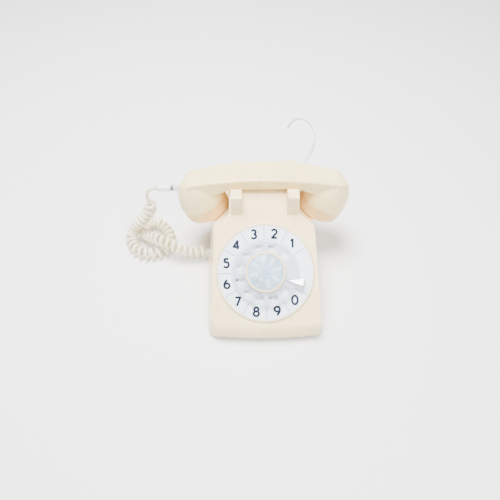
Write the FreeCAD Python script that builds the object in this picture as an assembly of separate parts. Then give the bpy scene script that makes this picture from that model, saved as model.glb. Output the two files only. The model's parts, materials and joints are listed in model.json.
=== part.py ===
"""Rotary desk telephone: housing, dial, cradle, handset, ringer, line circuit and cords.

Millimetres. +Z is up and -Y is the front, where the dial faces the user. The origin is
on the table under the middle of the base. Each function makes one piece or one family
of pieces, and main() writes every piece to parts/NAME.step.
"""
import FreeCAD
import Part
import math
import os
from FreeCAD import Placement, Rotation, Vector

# ---- Driving dimensions -------------------------------------------------------------
DEPTH = 216.0              # housing, front to back at the base
HALF_WIDTH = 75.5          # housing half width at the base, rear two thirds
FRONT_HALF_WIDTH = 71.0    # housing half width at the front edge
SIDE_DRAFT = 0.167         # how far each side leans in per millimetre of height
WALL = 2.8                 # housing wall
BASE_Z = 4.0               # the housing's lower edge above the table
FACE_SLOPE = 30.0          # dial face above the horizontal, degrees
NOSE_Z = 28.0              # height of the face at FACE_START from the front
FACE_START = 10.0
TROUGH_Z = 108.0           # floor of the cradle
TROUGH_FRONT = 148.3       # cradle floor, measured back from the front
TROUGH_BACK = 184.0
DECK_Z = 113.0             # shelf behind the cradle floor
FRONT_BOW = 4.5            # how far the front edge curves back at its corners
NECK_HALF = 44.0           # half width of the cradle between the handset's ears
HORN_X = 34.8              # cradle horns and plungers, from the middle

DIAL_BACK = 63.3           # dial centre, measured back from the front
RIM_R = 60.6               # dial's outer rim
WHEEL_R = 40.4             # finger wheel
WHEEL_Z = 6.5              # underside of the finger wheel above the dial face
WHEEL_THICK = 2.5
FINGER_R = 6.2             # finger holes
FINGER_CIRCLE = 32.3
HOLES = 10
HOLE_STEP = 30.0           # degrees between finger holes
FIRST_HOLE = 45.0          # angle of digit 1
HUB_R = 25.0               # ring round the number card
FRAME_R = 49.0             # dial's mounting plate
DIAL_HOLE_R = 50.0         # hole in the housing

MODULE = 0.8               # dial gearing
MAIN_TEETH = 60
PULSE_TEETH = 12
GOVERNOR_TEETH = 10
PULSE_ANGLE = 100.0        # where the pulse pinion meets the main gear
GOVERNOR_ANGLE = 220.0

CRADLE_Y = 58.0            # handset's centre line
CAP_R = 30.5               # handset caps
CAP_TILT = 20.0            # caps lean inward, degrees
CAP_X = 74.4               # centre of a cap's face
CAP_Z = 66.8
CAP_DEEP = 18.0             # cap, face to its seam with the ear
GRIP_HALF = 17.0           # handset grip half width
GRIP_BOTTOM = 112.0
GRIP_TOP = 130.0
GRIP_DROP = 10.3           # fall of the grip's top from the middle to the ends
GRIP_END = 96.0            # end of the grip, from the middle
GRIP_BACK = 1.8            # how much further the grip reaches back than forward
GRIP_DRAW = 6.8            # how far its back edge draws in towards the ends
EAR_FACET = (-0.894, 0.361, 0.263)   # way that the flat on the left ear's outer end faces
SKIRT_R = 26.8             # cap's threaded skirt
SKIRT_TOP = 22.5

PLUNGER_R = 4.0
PLUNGER_TOP = 111.7
PLUNGER_TRAVEL = 6.0
LEVER_ARM = 24.0           # hookswitch lever, pivot to fork
PIVOT_R = 1.5
PIVOT_Y = CRADLE_Y - LEVER_ARM    # hookswitch lever's axle
PIVOT_Z = 90.0
RUNNING = 0.05             # radial running clearance

GONG_R = 19.0
GONG_X = -46.0
GONG_Z = 22.0              # rim of the gongs
GONG_Y = (22.0, 68.0)

WHEEL_SPOT = (-40.0, -14.0, 11.0)      # middle of the loudness wheel
CLAPPER_PIVOT = (-20.0, 45.0)          # the striker's frame

FLOOR = BASE_Z + 0.4       # top of the base plate
SCREW_SPOTS = [(-50, -82), (50, -82), (-66.5, 84), (66.5, 84)]     # housing screws, from below
BOSS_R = 4.5
FOOT_SPOTS = [(-52, -66), (52, -66), (-58, 66), (58, 66)]

COIL_D = 17.8              # outside of the curly cord's turns
CORD_D = 4.8               # curly cord's own diameter
LINE_D = 4.6               # width of the line cord
JACK_X = -97.4             # inner end of the handset cord's socket
SWIVEL_X = JACK_X - 22.3   # face of the cord swivel
SWIVEL_LONG = 17.7
JACK_Y = 60.5              # handset cord's socket in the left ear
JACK_Z = 99.0
BODY_JACK = (-73.7, 19.0, 15.0)
LINE_JACK = (48.0, 108.0, 5.4)

# Straight tail of the handset cord, from the swivel down to the first turn.
TAIL_ROUTE = [
    (-138.1, 61.0, 98.7), (-142.6, 61.6, 98.0), (-147.6, 61.9, 95.4), (-151.5, 61.9, 91.0),
    (-153.7, 61.7, 85.6), (-153.9, 61.2, 80.0), (-152.6, 60.6, 74.9)]

# Axis of the curly cord, from below the swivel, round one loop and over itself.
COIL_ROUTE = [
    (-152.6, 60.6, 74.9), (-151.4, 58.8, 66.0), (-155.5, 56.2, 56.0), (-163.5, 55.2, 46.0),
    (-173.0, 56.0, 35.0), (-181.3, 57.0, 24.0), (-186.8, 52.5, 14.6), (-187.0, 42.0, 9.8),
    (-181.0, 30.5, 9.3), (-170.8, 22.8, 9.3), (-158.0, 20.6, 9.3), (-145.0, 22.8, 9.3),
    (-134.8, 29.5, 9.3), (-130.2, 41.0, 9.3), (-132.8, 53.5, 9.3), (-139.5, 65.0, 9.3),
    (-149.0, 74.5, 9.3), (-158.8, 78.6, 9.3), (-167.6, 75.8, 9.3), (-171.8, 67.5, 9.7),
    (-170.6, 57.4, 11.0), (-164.0, 48.0, 15.5), (-154.5, 39.6, 22.3), (-144.0, 31.8, 27.3),
    (-132.5, 25.0, 28.0), (-120.5, 20.4, 23.8), (-107.0, 18.4, 18.2), (-92.6, 18.2, 15.4),
    (-79.1, 19.0, 15.0)]

# Line cord, from the back of the housing along the table to its cut end.
LINE_ROUTE = [
    (48.0, 114.2, 5.4), (48.4, 121.0, 4.7), (49.4, 129.5, 3.3), (51.2, 139.5, 2.5),
    (54.0, 151.5, 2.4), (58.6, 166.0, 2.4), (65.4, 185.0, 2.4), (74.4, 207.0, 2.4),
    (84.6, 229.0, 2.4), (93.0, 250.0, 2.4), (98.2, 270.0, 2.4), (99.4, 286.0, 2.4),
    (97.8, 299.5, 2.4), (93.6, 311.0, 2.4), (88.0, 320.0, 2.4), (80.8, 326.0, 2.4),
    (72.0, 326.8, 2.4), (64.0, 321.8, 2.4), (57.8, 313.0, 2.4), (53.6, 302.6, 2.4)]

FACE_TAN = math.tan(math.radians(FACE_SLOPE))
HALF_DEPTH = DEPTH / 2


# ---- General helpers ----------------------------------------------------------------
def block(x0, x1, y0, y1, z0, z1):
    """A box between two corners."""
    return Part.makeBox(x1 - x0, y1 - y0, z1 - z0, Vector(x0, y0, z0))


def rod(start, end, radius):
    """A round bar from one point to another."""
    start, end = Vector(*start), Vector(*end)
    return Part.makeCylinder(radius, (end - start).Length, start, end - start)


def post(x, y, radius, z0, z1):
    """A round bar standing on its end."""
    return rod((x, y, z0), (x, y, z1), radius)


def tube(x, y, inner, outer, z0, z1):
    """A round tube standing on its end."""
    return post(x, y, outer, z0, z1).cut(post(x, y, inner, z0 - 1, z1 + 1))


def join(shapes):
    """One solid from touching ones."""
    first, rest = shapes[0], shapes[1:]
    return first.fuse(rest).removeSplitter() if rest else first


def rounded_wire(corners, place):
    """A closed wire through (a, b, radius) corners; place turns (a, b) into a point."""
    joins = []
    for i, (a, b, radius) in enumerate(corners):
        before, after = corners[i - 1], corners[(i + 1) % len(corners)]
        here = Vector(a, b, 0)
        back = (Vector(before[0], before[1], 0) - here).normalize()
        ahead = (Vector(after[0], after[1], 0) - here).normalize()
        half = back.getAngle(ahead) / 2
        if radius <= 0 or abs(half - math.pi / 2) < 1e-6:
            joins.append((here, here, here))
            continue
        reach = radius / math.tan(half)
        inward = (back + ahead).normalize()
        centre = here + inward * (radius / math.sin(half))
        joins.append((here + back * reach, centre - inward * radius, here + ahead * reach))
    edges = []
    for i, (start, middle, end) in enumerate(joins):
        following = joins[(i + 1) % len(joins)][0]
        if (start - end).Length > 1e-6:
            bend = [place(p.x, p.y) for p in (start, middle, end)]
            edges.append(Part.Arc(*bend).toShape())
        if (end - following).Length > 1e-6:
            edges.append(Part.LineSegment(place(end.x, end.y), place(following.x, following.y)).toShape())
    return Part.Wire(edges)


def plan_prism(corners, z0, z1):
    """A solid with a rounded plan outline, from z0 up to z1."""
    wire = rounded_wire(corners, lambda x, y: Vector(x, y, z0))
    return Part.Face(wire).extrude(Vector(0, 0, z1 - z0))


def side_prism(corners, x0, x1):
    """A solid with a rounded (y, z) outline, from x0 across to x1."""
    wire = rounded_wire(corners, lambda y, z: Vector(x0, y, z))
    return Part.Face(wire).extrude(Vector(x1 - x0, 0, 0))


def front_prism(corners, y0, y1):
    """A solid with a rounded (x, z) outline, from y0 back to y1."""
    wire = rounded_wire(corners, lambda x, z: Vector(x, y0, z))
    return Part.Face(wire).extrude(Vector(0, y1 - y0, 0))


def turned(corners):
    """A solid of revolution about Z from (radius, height, corner radius) points."""
    wire = rounded_wire(corners, lambda r, z: Vector(r, 0, z))
    return Part.Face(wire).revolve(Vector(0, 0, 0), Vector(0, 0, 1), 360)


def mirrored(shape):
    """The same piece on the other side of the telephone."""
    return shape.mirror(Vector(0, 0, 0), Vector(1, 0, 0))


def save(name, shape):
    """Write one piece and say what it holds."""
    shape.exportStep(f"parts/{name}.step")
    state = "valid" if shape.isValid() else "NOT VALID"
    print(f"{name:26s} {shape.Volume / 1000:9.3f} cm3  {len(shape.Solids)} solid  {state}")


# ---- Housing and base ---------------------------------------------------------------
def face_z(back):
    """Height of the sloping face, at a distance back from the front."""
    return NOSE_Z + (back - FACE_START) * FACE_TAN


def side_form(inset):
    """The housing seen from the side, bowed at the front, much wider than the housing."""
    lower = BASE_Z - (10 if inset else 0)
    drop = inset / math.cos(math.radians(FACE_SLOPE))
    wires = []
    for x in (-90, -60, -30, 0, 30, 60, 90):
        bow = FRONT_BOW * (x / FRONT_HALF_WIDTH) ** 2
        front = bow + inset
        corners = [
            (front + 1.0, lower, 0.8), (front, face_z(bow) - drop, 13 - inset),
            (TROUGH_FRONT, face_z(TROUGH_FRONT) - drop, 5), (TROUGH_BACK + inset, TROUGH_Z - inset, 2.5),
            (TROUGH_BACK + 2.5 + inset, DECK_Z - inset, 2), (198 - inset, DECK_Z - inset, 4 - inset),
            (189 - inset, 86, 16), (201 - inset, 48, 40), (DEPTH - inset, 10, 2),
            (DEPTH - 0.5 - inset, lower, 0.8)]
        wires.append(rounded_wire(corners, lambda b, z, x=x: Vector(x, b - HALF_DEPTH, z)))
    return Part.makeLoft(wires, True, False)


def plan_form(inset):
    """The housing seen from above: drafted sides and round corners that follow the back."""
    wires = []
    for z, back in ((0, 221.0), (48, 202.2), (86, 190.2), (113, 199.5), (130, 206.0)):
        lean = SIDE_DRAFT * (z - BASE_Z) + inset
        front, rear = FRONT_HALF_WIDTH - lean, HALF_WIDTH - lean
        corners = [
            (-front, FRONT_BOW - 0.6 + inset, 14), (0, -0.8 + inset, 220), (front, FRONT_BOW - 0.6 + inset, 14),
            (rear, 100, 150), (rear, back - inset, 15), (-rear, back - inset, 15), (-rear, 100, 150)]
        wires.append(rounded_wire(corners, lambda x, b, z=z: Vector(x, b - HALF_DEPTH, z)))
    return Part.makeLoft(wires, True, False)


def shoulder_cut(grow):
    """The room below one ear of the handset, beside the cradle's neck."""
    near = NECK_HALF - grow
    plan = [(near, 126.6 - grow - HALF_DEPTH, 5), (88, 91.2 - grow - HALF_DEPTH, 0),
            (110, 91.2 - grow - HALF_DEPTH, 0), (110, 130, 0), (near, 130, 0)]
    rise = [(near - 2, 76.2 - grow, 0), (110, 51.4 - grow, 0), (110, 150, 0), (near - 2, 150, 0)]
    return plan_prism(plan, 40, 150).common(front_prism(rise, -60, 130))


def housing_form(inset):
    """The housing's outside, or its inside when inset by the wall."""
    form = side_form(inset).common(plan_form(inset))
    cut = shoulder_cut(inset)
    return form.cut([cut, mirrored(cut)])


def horns():
    """Four upright horns: the front pair on the sloping face, the rear pair on the deck."""
    def outline(points):
        return [(back - HALF_DEPTH, z, radius) for back, z, radius in points]
    front = outline([(124.6, 88, 0), (128.6, 121, 3), (143.4, 122, 3), (148.5, 113.5, 2), (148.5, 100, 0)])
    rear = outline([(184.8, 100, 0), (184.8, 114, 2), (188.0, 122.4, 2.5), (195.2, 121.6, 3),
                    (199.0, 110, 2), (196.6, 104, 0)])
    shapes = []
    for x in (-HORN_X, HORN_X):
        shapes.append(side_prism(front, x - 6.9, x + 6.9))
        shapes.append(side_prism(rear, x - 6.8, x + 6.8))
    return shapes




def housing(outside, inside):
    """Moulded housing: shell, horns, cradle holes, dial hole, jack openings and bosses."""
    bosses = [post(x, y, BOSS_R, BASE_Z + 0.6, BASE_Z + 40) for x, y in SCREW_SPOTS]
    shell = outside.cut(inside)
    added = [horn.cut(inside) for horn in horns()] + [boss.common(outside) for boss in bosses]
    body = shell.fuse(added)
    holes = [post(x, y, 1.5, BASE_Z, BASE_Z + 16) for x, y in SCREW_SPOTS]
    holes += [post(x, CRADLE_Y, PLUNGER_R + 0.4, 90, 125) for x in (-HORN_X, HORN_X)]
    holes.append(on_dial(post(0, 0, DIAL_HOLE_R, -12, 8)))
    x, y, z = BODY_JACK
    holes.append(block(x - 6, x + 8, y - 4, y + 4, z - 4, z + 4))
    x, y, z = LINE_JACK
    holes.append(block(x - 4, x + 4, y - 8, y + 4, 0, z + 4))
    return body.cut(holes)


def base_plate():
    """Pressed steel base with an upturned edge, holes for screws and a slot for the wheel."""
    lower = BASE_Z - 0.8
    outer = side_form(WALL + 0.4).common(plan_form(WALL + 0.4))
    inner = side_form(WALL + 1.6).common(plan_form(WALL + 1.6))
    sheet = outer.common(block(-100, 100, -120, 120, lower, lower + 1.2))
    edge = outer.cut(inner).common(block(-100, 100, -120, 120, lower + 1.2, lower + 7))
    plate = sheet.fuse(edge).removeSplitter()
    holes = [post(x, y, 1.8, 0, 12) for x, y in SCREW_SPOTS]
    holes += [post(x, y, BOSS_R + 0.3, FLOOR, 20) for x, y in SCREW_SPOTS]
    holes.append(block(WHEEL_SPOT[0] - 2.6, WHEEL_SPOT[0] + 2.6, WHEEL_SPOT[1] - 9.5, WHEEL_SPOT[1] + 9.5, 0, 6))
    x, y, z = LINE_JACK
    holes.append(block(x - 5.2, x + 5.2, y - 18, y + 4, 0, 20))
    x, y, z = BODY_JACK
    holes.append(block(x - 4, x + 14, y - 6.2, y + 6.2, 4.6, 20))
    return plate.cut(holes)




def rubber_feet():
    """Four round feet under the base plate."""
    feet = [turned([(0, 0, 0), (8.5, 0, 1), (9.5, 3.2, 0), (0, 3.2, 0)]) for _ in FOOT_SPOTS]
    for foot, (x, y) in zip(feet, FOOT_SPOTS):
        foot.translate(Vector(x, y, 0))
    return Part.makeCompound(feet)


def housing_screws():
    """Four screws from below into the housing's bosses."""
    screws = []
    for x, y in SCREW_SPOTS:
        screw = join([post(x, y, 3.2, 1.6, BASE_Z - 0.8), post(x, y, 1.5, BASE_Z - 0.8, BASE_Z + 14)])
        screws.append(screw.cut(block(x - 2.6, x + 2.6, y - 0.4, y + 0.4, 1, 2.4)))
    return Part.makeCompound(screws)


# ---- Dial ---------------------------------------------------------------------------
DIAL_PLACE = Placement(
    Vector(0, DIAL_BACK - HALF_DEPTH, NOSE_Z + (DIAL_BACK - FACE_START) * FACE_TAN),
    Rotation(Vector(1, 0, 0), FACE_SLOPE))


def on_dial(shape):
    """Move a piece from the dial's own frame, with Z out of the face, onto the housing."""
    moved = shape.copy()
    moved.Placement = DIAL_PLACE.multiply(moved.Placement)
    return moved


def polar(radius, degrees):
    """A point in the dial's plane."""
    turn = math.radians(degrees)
    return radius * math.cos(turn), radius * math.sin(turn)


def finger_spots():
    """Centres of the ten finger holes, digit 1 first."""
    return [polar(FINGER_CIRCLE, FIRST_HOLE + HOLE_STEP * i) for i in range(HOLES)]


def number_plate():
    """The round plate with the numerals, fixed round the finger wheel."""
    return tube(0, 0, 11, RIM_R - 1.9, 0.6, 1.8)


def dial_rim():
    """The thin rim that holds the number plate."""
    inner = RIM_R - 1.8
    rim = turned([(inner, 0.05, 0), (RIM_R, 0.05, 0), (RIM_R, 1.6, 0.5), (RIM_R - 0.9, 2.2, 0.3),
                  (inner - 0.7, 2.2, 0.2), (inner - 0.7, 1.85, 0), (inner, 1.85, 0)])
    return rim


def dial_frame():
    """The plate and three pillars that carry the dial's works."""
    plate = post(0, 0, FRAME_R, -2.2, 0.4)
    pillars = [post(*polar(31, angle), 2.4, -13, -2.2) for angle in (0, 140, 270)]
    screws = [post(*polar(43, angle), 1.6, -6, 3) for angle in (55, 125, 235, 305)]
    return join([plate] + pillars).cut([post(0, 0, 3 + RUNNING, -5, 3)] + screws)


def dial_screws():
    """Four screws that hold the dial's plate to its brackets."""
    screws = [post(*polar(43, angle), 1.5, -5.5, 0.5) for angle in (55, 125, 235, 305)]
    return Part.makeCompound(screws)


def mechanism_plate():
    """The rear plate of the dial, with bearings for the three shafts."""
    plate = post(0, 0, 37, -14.6, -13)
    bearings = [post(0, 0, 3 + RUNNING, -16, -12)]
    for teeth, angle in ((PULSE_TEETH, PULSE_ANGLE), (GOVERNOR_TEETH, GOVERNOR_ANGLE)):
        bearings.append(post(*polar(gear_gap(teeth), angle), PIVOT_R + RUNNING, -16, -12))
    return plate.cut(bearings)


def gear_gap(teeth):
    """Distance from the main gear's centre to a pinion's."""
    return MODULE * (MAIN_TEETH + teeth) / 2


def gear(teeth, z0, z1, bore, phase):
    """A spur gear with slim straight-sided teeth; phase is the angle of one tooth."""
    pitch = MODULE * teeth / 2
    root, tip = pitch - 0.95, pitch + 0.6
    step = 360.0 / teeth
    points = []
    for i in range(teeth):
        centre = phase + i * step
        for radius, part in ((root, -0.27), (tip, -0.11), (tip, 0.11), (root, 0.27)):
            points.append(Vector(*polar(radius, centre + part * step), z0))
    outline = Part.Face(Part.makePolygon(points + points[:1]))
    return outline.extrude(Vector(0, 0, z1 - z0)).cut(post(0, 0, bore, z0 - 1, z1 + 1))


def pinion(teeth, angle, z0, z1):
    """A pinion in mesh with the main gear: one of its gaps takes a tooth of the gear."""
    step = 360.0 / MAIN_TEETH
    nearest = round(angle / step) * step
    lead = (angle - nearest) * MAIN_TEETH / teeth
    wheel = gear(teeth, z0, z1, PIVOT_R, angle + 180 + lead + 180.0 / teeth)
    wheel.translate(Vector(*polar(gear_gap(teeth), angle), 0))
    return wheel


def main_gear():
    """The gear on the finger wheel's shaft."""
    return gear(MAIN_TEETH, -11, -9.4, 3, 0)


def dial_shaft():
    """The shaft and flange that carry the finger wheel."""
    return join([post(0, 0, 3, -17, 4.2), post(0, 0, 9, 3.2, WHEEL_Z)]).cut(post(0, 0, 1.5, -1, WHEEL_Z + 1))


def wheel_screw():
    """The screw that holds the finger wheel to its shaft."""
    top = WHEEL_Z + WHEEL_THICK
    screw = join([post(0, 0, 1.5, -0.5, top), post(0, 0, 3.4, top, top + 1.4)])
    return screw.cut(block(-2.8, 2.8, -0.4, 0.4, top + 0.7, top + 2))


def finger_wheel():
    """The clear wheel with ten rimmed finger holes."""
    top = WHEEL_Z + WHEEL_THICK
    disc = turned([(1.55, WHEEL_Z, 0), (WHEEL_R - 1.6, WHEEL_Z, 0), (WHEEL_R - 1.6, WHEEL_Z - 1.4, 0.3),
                   (WHEEL_R, WHEEL_Z - 1.4, 0.4), (WHEEL_R, top, 0.8), (1.55, top, 0)])
    rims = [tube(x, y, FINGER_R, FINGER_R + 0.8, top - 0.5, top + 0.5) for x, y in finger_spots()]
    holes = [post(x, y, FINGER_R, 0, 20) for x, y in finger_spots()]
    return disc.cut(holes).fuse(rims).removeSplitter()


def card_ring():
    """The ring round the number card."""
    low = WHEEL_Z + WHEEL_THICK
    return turned([(20.4, low, 0), (HUB_R, low, 0), (HUB_R, low + 2.2, 0.6), (HUB_R - 1.2, low + 3.2, 0.5),
                   (21.9, low + 3.2, 0), (21.9, low + 1.7, 0), (20.4, low + 1.7, 0)])


def number_card():
    """The paper card under the window."""
    low = WHEEL_Z + WHEEL_THICK + 1.7
    return post(0, 0, 21.6, low, low + 0.5)


def card_window():
    """The clear domed window over the card."""
    low, rise, radius, wall = WHEEL_Z + WHEEL_THICK + 2.25, 3.8, 21.8, 1.2
    ball = (radius ** 2 + rise ** 2) / (2 * rise)
    top = low + wall + rise
    outer = Part.makeSphere(ball, Vector(0, 0, top - ball))
    inner = Part.makeSphere(ball, Vector(0, 0, top - wall - ball))
    return outer.cut(inner).common(post(0, 0, radius, low, top + 1))


def finger_stop():
    """The pointed blade that a finger is carried round to, with its foot on the plate."""
    point, near, far = polar(27, -24), polar(48, -22.5), polar(48, -10)
    blade = Part.Face(Part.makePolygon([Vector(*p, 10.3) for p in (point, near, far, point)]))
    inner_near, inner_far = polar(46.4, -22.4), polar(46.4, -10.4)
    foot = Part.Face(Part.makePolygon([Vector(*p, 1.85) for p in (inner_near, near, far, inner_far, inner_near)]))
    return join([blade.extrude(Vector(0, 0, 1.3)), foot.extrude(Vector(0, 0, 9.7))])


def dial_spring():
    """The coiled return spring round the shaft."""
    return tube(0, 0, 4.2, 12, -8.4, -4)


def pulse_pinion():
    """The pinion and shaft that turn the pulse cam."""
    spot = polar(gear_gap(PULSE_TEETH), PULSE_ANGLE)
    return pinion(PULSE_TEETH, PULSE_ANGLE, -11.6, -8.8).fuse(post(*spot, PIVOT_R, -16, -4)).removeSplitter()


def pulse_cam():
    """The two-lobed cam that opens the pulse contacts."""
    x, y = polar(gear_gap(PULSE_TEETH), PULSE_ANGLE)
    lobes = [post(x - 2.2, y, 3.4, -7.6, -5.6), post(x + 2.2, y, 3.4, -7.6, -5.6)]
    return join(lobes).cut(post(x, y, PIVOT_R, -9, -4))


def pulse_contacts():
    """Two spring leaves and their insulating block beside the cam."""
    x, y = polar(gear_gap(PULSE_TEETH), PULSE_ANGLE)
    stack = block(x + 15, x + 21, y - 4, y + 3, -8.6, -4.6)
    leaves = [block(x + 6.4, x + 15, y - 2.4, y - 2.0, -8, -5.2), block(x + 6.4, x + 15, y + 1.0, y + 1.4, -8, -5.2)]
    leg = block(x + 16, x + 19, y - 3, y + 1, -13, -8.6)
    return join([stack, leg] + leaves)


def governor_pinion():
    """The pinion and shaft of the speed governor."""
    spot = polar(gear_gap(GOVERNOR_TEETH), GOVERNOR_ANGLE)
    wheel = pinion(GOVERNOR_TEETH, GOVERNOR_ANGLE, -11.6, -8.8)
    return wheel.fuse(post(*spot, PIVOT_R, -20, -6)).removeSplitter()


def governor_weights():
    """The fly bar with two weights, below the rear plate."""
    x, y = polar(gear_gap(GOVERNOR_TEETH), GOVERNOR_ANGLE)
    bar = block(x - 6, x + 6, y - 1.2, y + 1.2, -18.8, -17.6)
    hub = post(x, y, 2.6, -19.6, -16.6)
    weights = [post(x + side * 5.4, y, 2.0, -19.6, -16.6) for side in (-1, 1)]
    return join([bar, hub] + weights).cut(post(x, y, PIVOT_R, -22, -14))


def governor_cup():
    """The brake drum round the governor's weights."""
    x, y = polar(gear_gap(GOVERNOR_TEETH), GOVERNOR_ANGLE)
    return tube(x, y, 8.2, 9.4, -20.4, -14.6)


def dial_bracket():
    """The right-hand sheet bracket between the base plate and the dial's plate."""
    def under(y):
        return face_z(y + HALF_DEPTH) - 2.3 / math.cos(math.radians(FACE_SLOPE))
    low = BASE_Z + 0.4
    web = side_prism([(-62, low, 0), (-27, low, 0), (-27, under(-27), 0), (-62, under(-62), 0)], 40.5, 42)
    foot = block(42, 50, -62, -27, low, low + 1.5)
    return join([web, foot])


# ---- Ringer, line circuit and hookswitch --------------------------------------------


def gong(y):
    """One turned brass gong on its post."""
    shell = turned([(0, 11.6, 0), (8, 11.6, 2), (16, 9.6, 5), (GONG_R, 0, 0), (GONG_R - 1.4, 0, 0),
                    (14.8, 8.2, 4), (7.4, 10.2, 2), (0, 10.2, 0)])
    shell = shell.cut(post(0, 0, 1.6, 5, 15))
    shell.translate(Vector(GONG_X, y, GONG_Z))
    return shell


def gong_posts():
    """The two posts and screws that carry the gongs."""
    posts = []
    for y in GONG_Y:
        seat, top = GONG_Z + 10.1, GONG_Z + 11.7
        stem = post(GONG_X, y, 3, FLOOR, seat)
        screw = join([post(GONG_X, y, 1.5, seat, top), post(GONG_X, y, 3.2, top, top + 1.5)])
        posts.append(join([stem, screw]))
    return Part.makeCompound(posts)


def ringer_frame():
    """The sheet frame under the ringer's magnet and coil."""
    x, y = CLAPPER_PIVOT
    sheet = block(x - 6, x + 8, y - 21, y + 21, FLOOR, FLOOR + 1.5)
    low = GONG_Z + 7
    ends = [block(x - 6, x + 8, y + s * 20 - 0.8, y + s * 20 + 0.8, FLOOR + 1.5, low) for s in (-1, 1)]
    bridge = block(x + 1, x + 8, y - 21, y + 21, low, low + 1.5)
    pivot_hole = post(x + 4.5, y, 1.5 + RUNNING, low - 3, low + 5)
    return join([sheet, bridge] + ends).cut(pivot_hole)


def ringer_coil():
    """The winding between its two cheeks."""
    x, y = CLAPPER_PIVOT
    winding = rod((x, y - 16, 14), (x, y + 16, 14), 6.4)
    cheeks = [rod((x, y + s * 17, 14), (x, y + s * 15.6, 14), 7.4) for s in (-1, 1)]
    return join([winding] + cheeks).cut(rod((x, y - 25, 14), (x, y + 25, 14), 2.5))


def ringer_core():
    """The iron core through the winding."""
    x, y = CLAPPER_PIVOT
    return rod((x, y - 19.1, 14), (x, y + 19.1, 14), 2.5)


def clapper():
    """The striker: pivot, arm and its round hammer."""
    x, y = CLAPPER_PIVOT
    low = GONG_Z + 8.7
    pivot = post(x + 4.5, y, 1.5, low - 4, low + 2.3)
    hub = post(x + 4.5, y, 3, low, low + 2.3)
    arm = block(GONG_X + 1.5, x + 3, y - 0.8, y + 0.8, low + 0.3, low + 1.9)
    hammer = post(GONG_X, y, 2.7, low - 3.2, low + 2.2)
    return join([pivot, hub, arm, hammer])


def loudness_wheel():
    """The ribbed wheel that reaches through the base to set the ringer's loudness."""
    x, y, z = WHEEL_SPOT
    wheel = rod((x - 2, y, z), (x + 2, y, z), 9.6)
    ribs = []
    for i in range(24):
        turn = math.radians(15 * i)
        ribs.append(rod((x - 3, y + 10.1 * math.cos(turn), z + 10.1 * math.sin(turn)),
                        (x + 3, y + 10.1 * math.cos(turn), z + 10.1 * math.sin(turn)), 0.8))
    return wheel.cut(ribs + [rod((x - 3, y, z), (x + 3, y, z), 1.5 + RUNNING)])


def loudness_bracket():
    """The forked bracket and pin that carry the loudness wheel."""
    x, y, z = WHEEL_SPOT
    cheeks = [block(x + s * 3.4 - 0.6, x + s * 3.4 + 0.6, y - 4, y + 4, FLOOR, z + 4) for s in (-1, 1)]
    pin = rod((x - 4.4, y, z), (x + 4.4, y, z), 1.5)
    return join(cheeks + [pin])


def network_block():
    """The moulded line circuit block."""
    box = block(16, 60, 2, 54, FLOOR, 34)
    return box.cut([block(22, 54, 8, 20, 33, 36), block(22, 54, 36, 48, 33, 36)])


def network_screws():
    """Ten terminal screws in two rows on the line circuit block."""
    screws = []
    for y in (14, 42):
        for i in range(5):
            x = 26 + 6 * i
            head = post(x, y, 2.2, 33, 34.4)
            screws.append(head.cut(block(x - 1.8, x + 1.8, y - 0.35, y + 0.35, 33.8, 36)))
    return Part.makeCompound(screws)


YOKE_PIN_Z = PIVOT_Z - PLUNGER_TRAVEL / 2


def hookswitch_bracket():
    """The upright bracket that carries the lever's pivot and the contact stack."""
    foot = block(-9, 9, 26, 36, FLOOR, FLOOR + 1.5)
    web = block(-9, 9, 26, 27.5, FLOOR, 95)
    ears = [block(s * 8.2 - 0.8, s * 8.2 + 0.8, 27.5, PIVOT_Y + 4, 84, 95) for s in (-1, 1)]
    pin = rod((-9, PIVOT_Y, PIVOT_Z), (9, PIVOT_Y, PIVOT_Z), PIVOT_R)
    return join([foot, web, pin] + ears)


def hookswitch_lever():
    """The lever: hub on the pivot, arm back to a fork on the yoke's pin, and a pad."""
    tilt = math.degrees(math.asin(PLUNGER_TRAVEL / 2 / LEVER_ARM))
    hub = rod((-5, 0, 0), (5, 0, 0), 3)
    arm = block(-3, 3, 2, LEVER_ARM + 3, -2.6, 2.6)
    lever = join([hub, arm])
    lever = lever.cut([rod((-8, 0, 0), (8, 0, 0), PIVOT_R + RUNNING),
                       block(-4, 4, LEVER_ARM - 2, LEVER_ARM + 4, -1.5, 1.5)])
    lever.rotate(Vector(0, 0, 0), Vector(1, 0, 0), -tilt)
    lever.translate(Vector(0, PIVOT_Y, PIVOT_Z))
    return lever


def hook_yoke():
    """The cross bar under the two plungers, with the lever's pin between two lugs."""
    bar = block(-HORN_X - 4, HORN_X + 4, CRADLE_Y - 3, CRADLE_Y + 3, 92.5, 95.5)
    lugs = [block(s * 6 - 1, s * 6 + 1, CRADLE_Y - 2.4, CRADLE_Y + 2.4, YOKE_PIN_Z - 2.4, 92.5) for s in (-1, 1)]
    pin = rod((-6, CRADLE_Y, YOKE_PIN_Z), (6, CRADLE_Y, YOKE_PIN_Z), 1.2)
    return join([bar, pin] + lugs)


def plunger(x):
    """One round-topped plunger that the handset presses down."""
    button = turned([(0, 95.5, 0), (PLUNGER_R, 95.5, 0), (PLUNGER_R, PLUNGER_TOP, 1.2), (0, PLUNGER_TOP, 0)])
    button.translate(Vector(x, CRADLE_Y, 0))
    return button


def hook_spring():
    """The return spring below the yoke, as its outer form."""
    return tube(HORN_X - 10, CRADLE_Y, 2.6, 4, 62, 92.3)


def spring_post():
    """The post on the base that guides the yoke's spring."""
    seat = post(HORN_X - 10, CRADLE_Y, 5, 60, 61.9)
    return join([post(HORN_X - 10, CRADLE_Y, 3, FLOOR, 60), seat, post(HORN_X - 10, CRADLE_Y, 2.3, 61.9, 74)])


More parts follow.
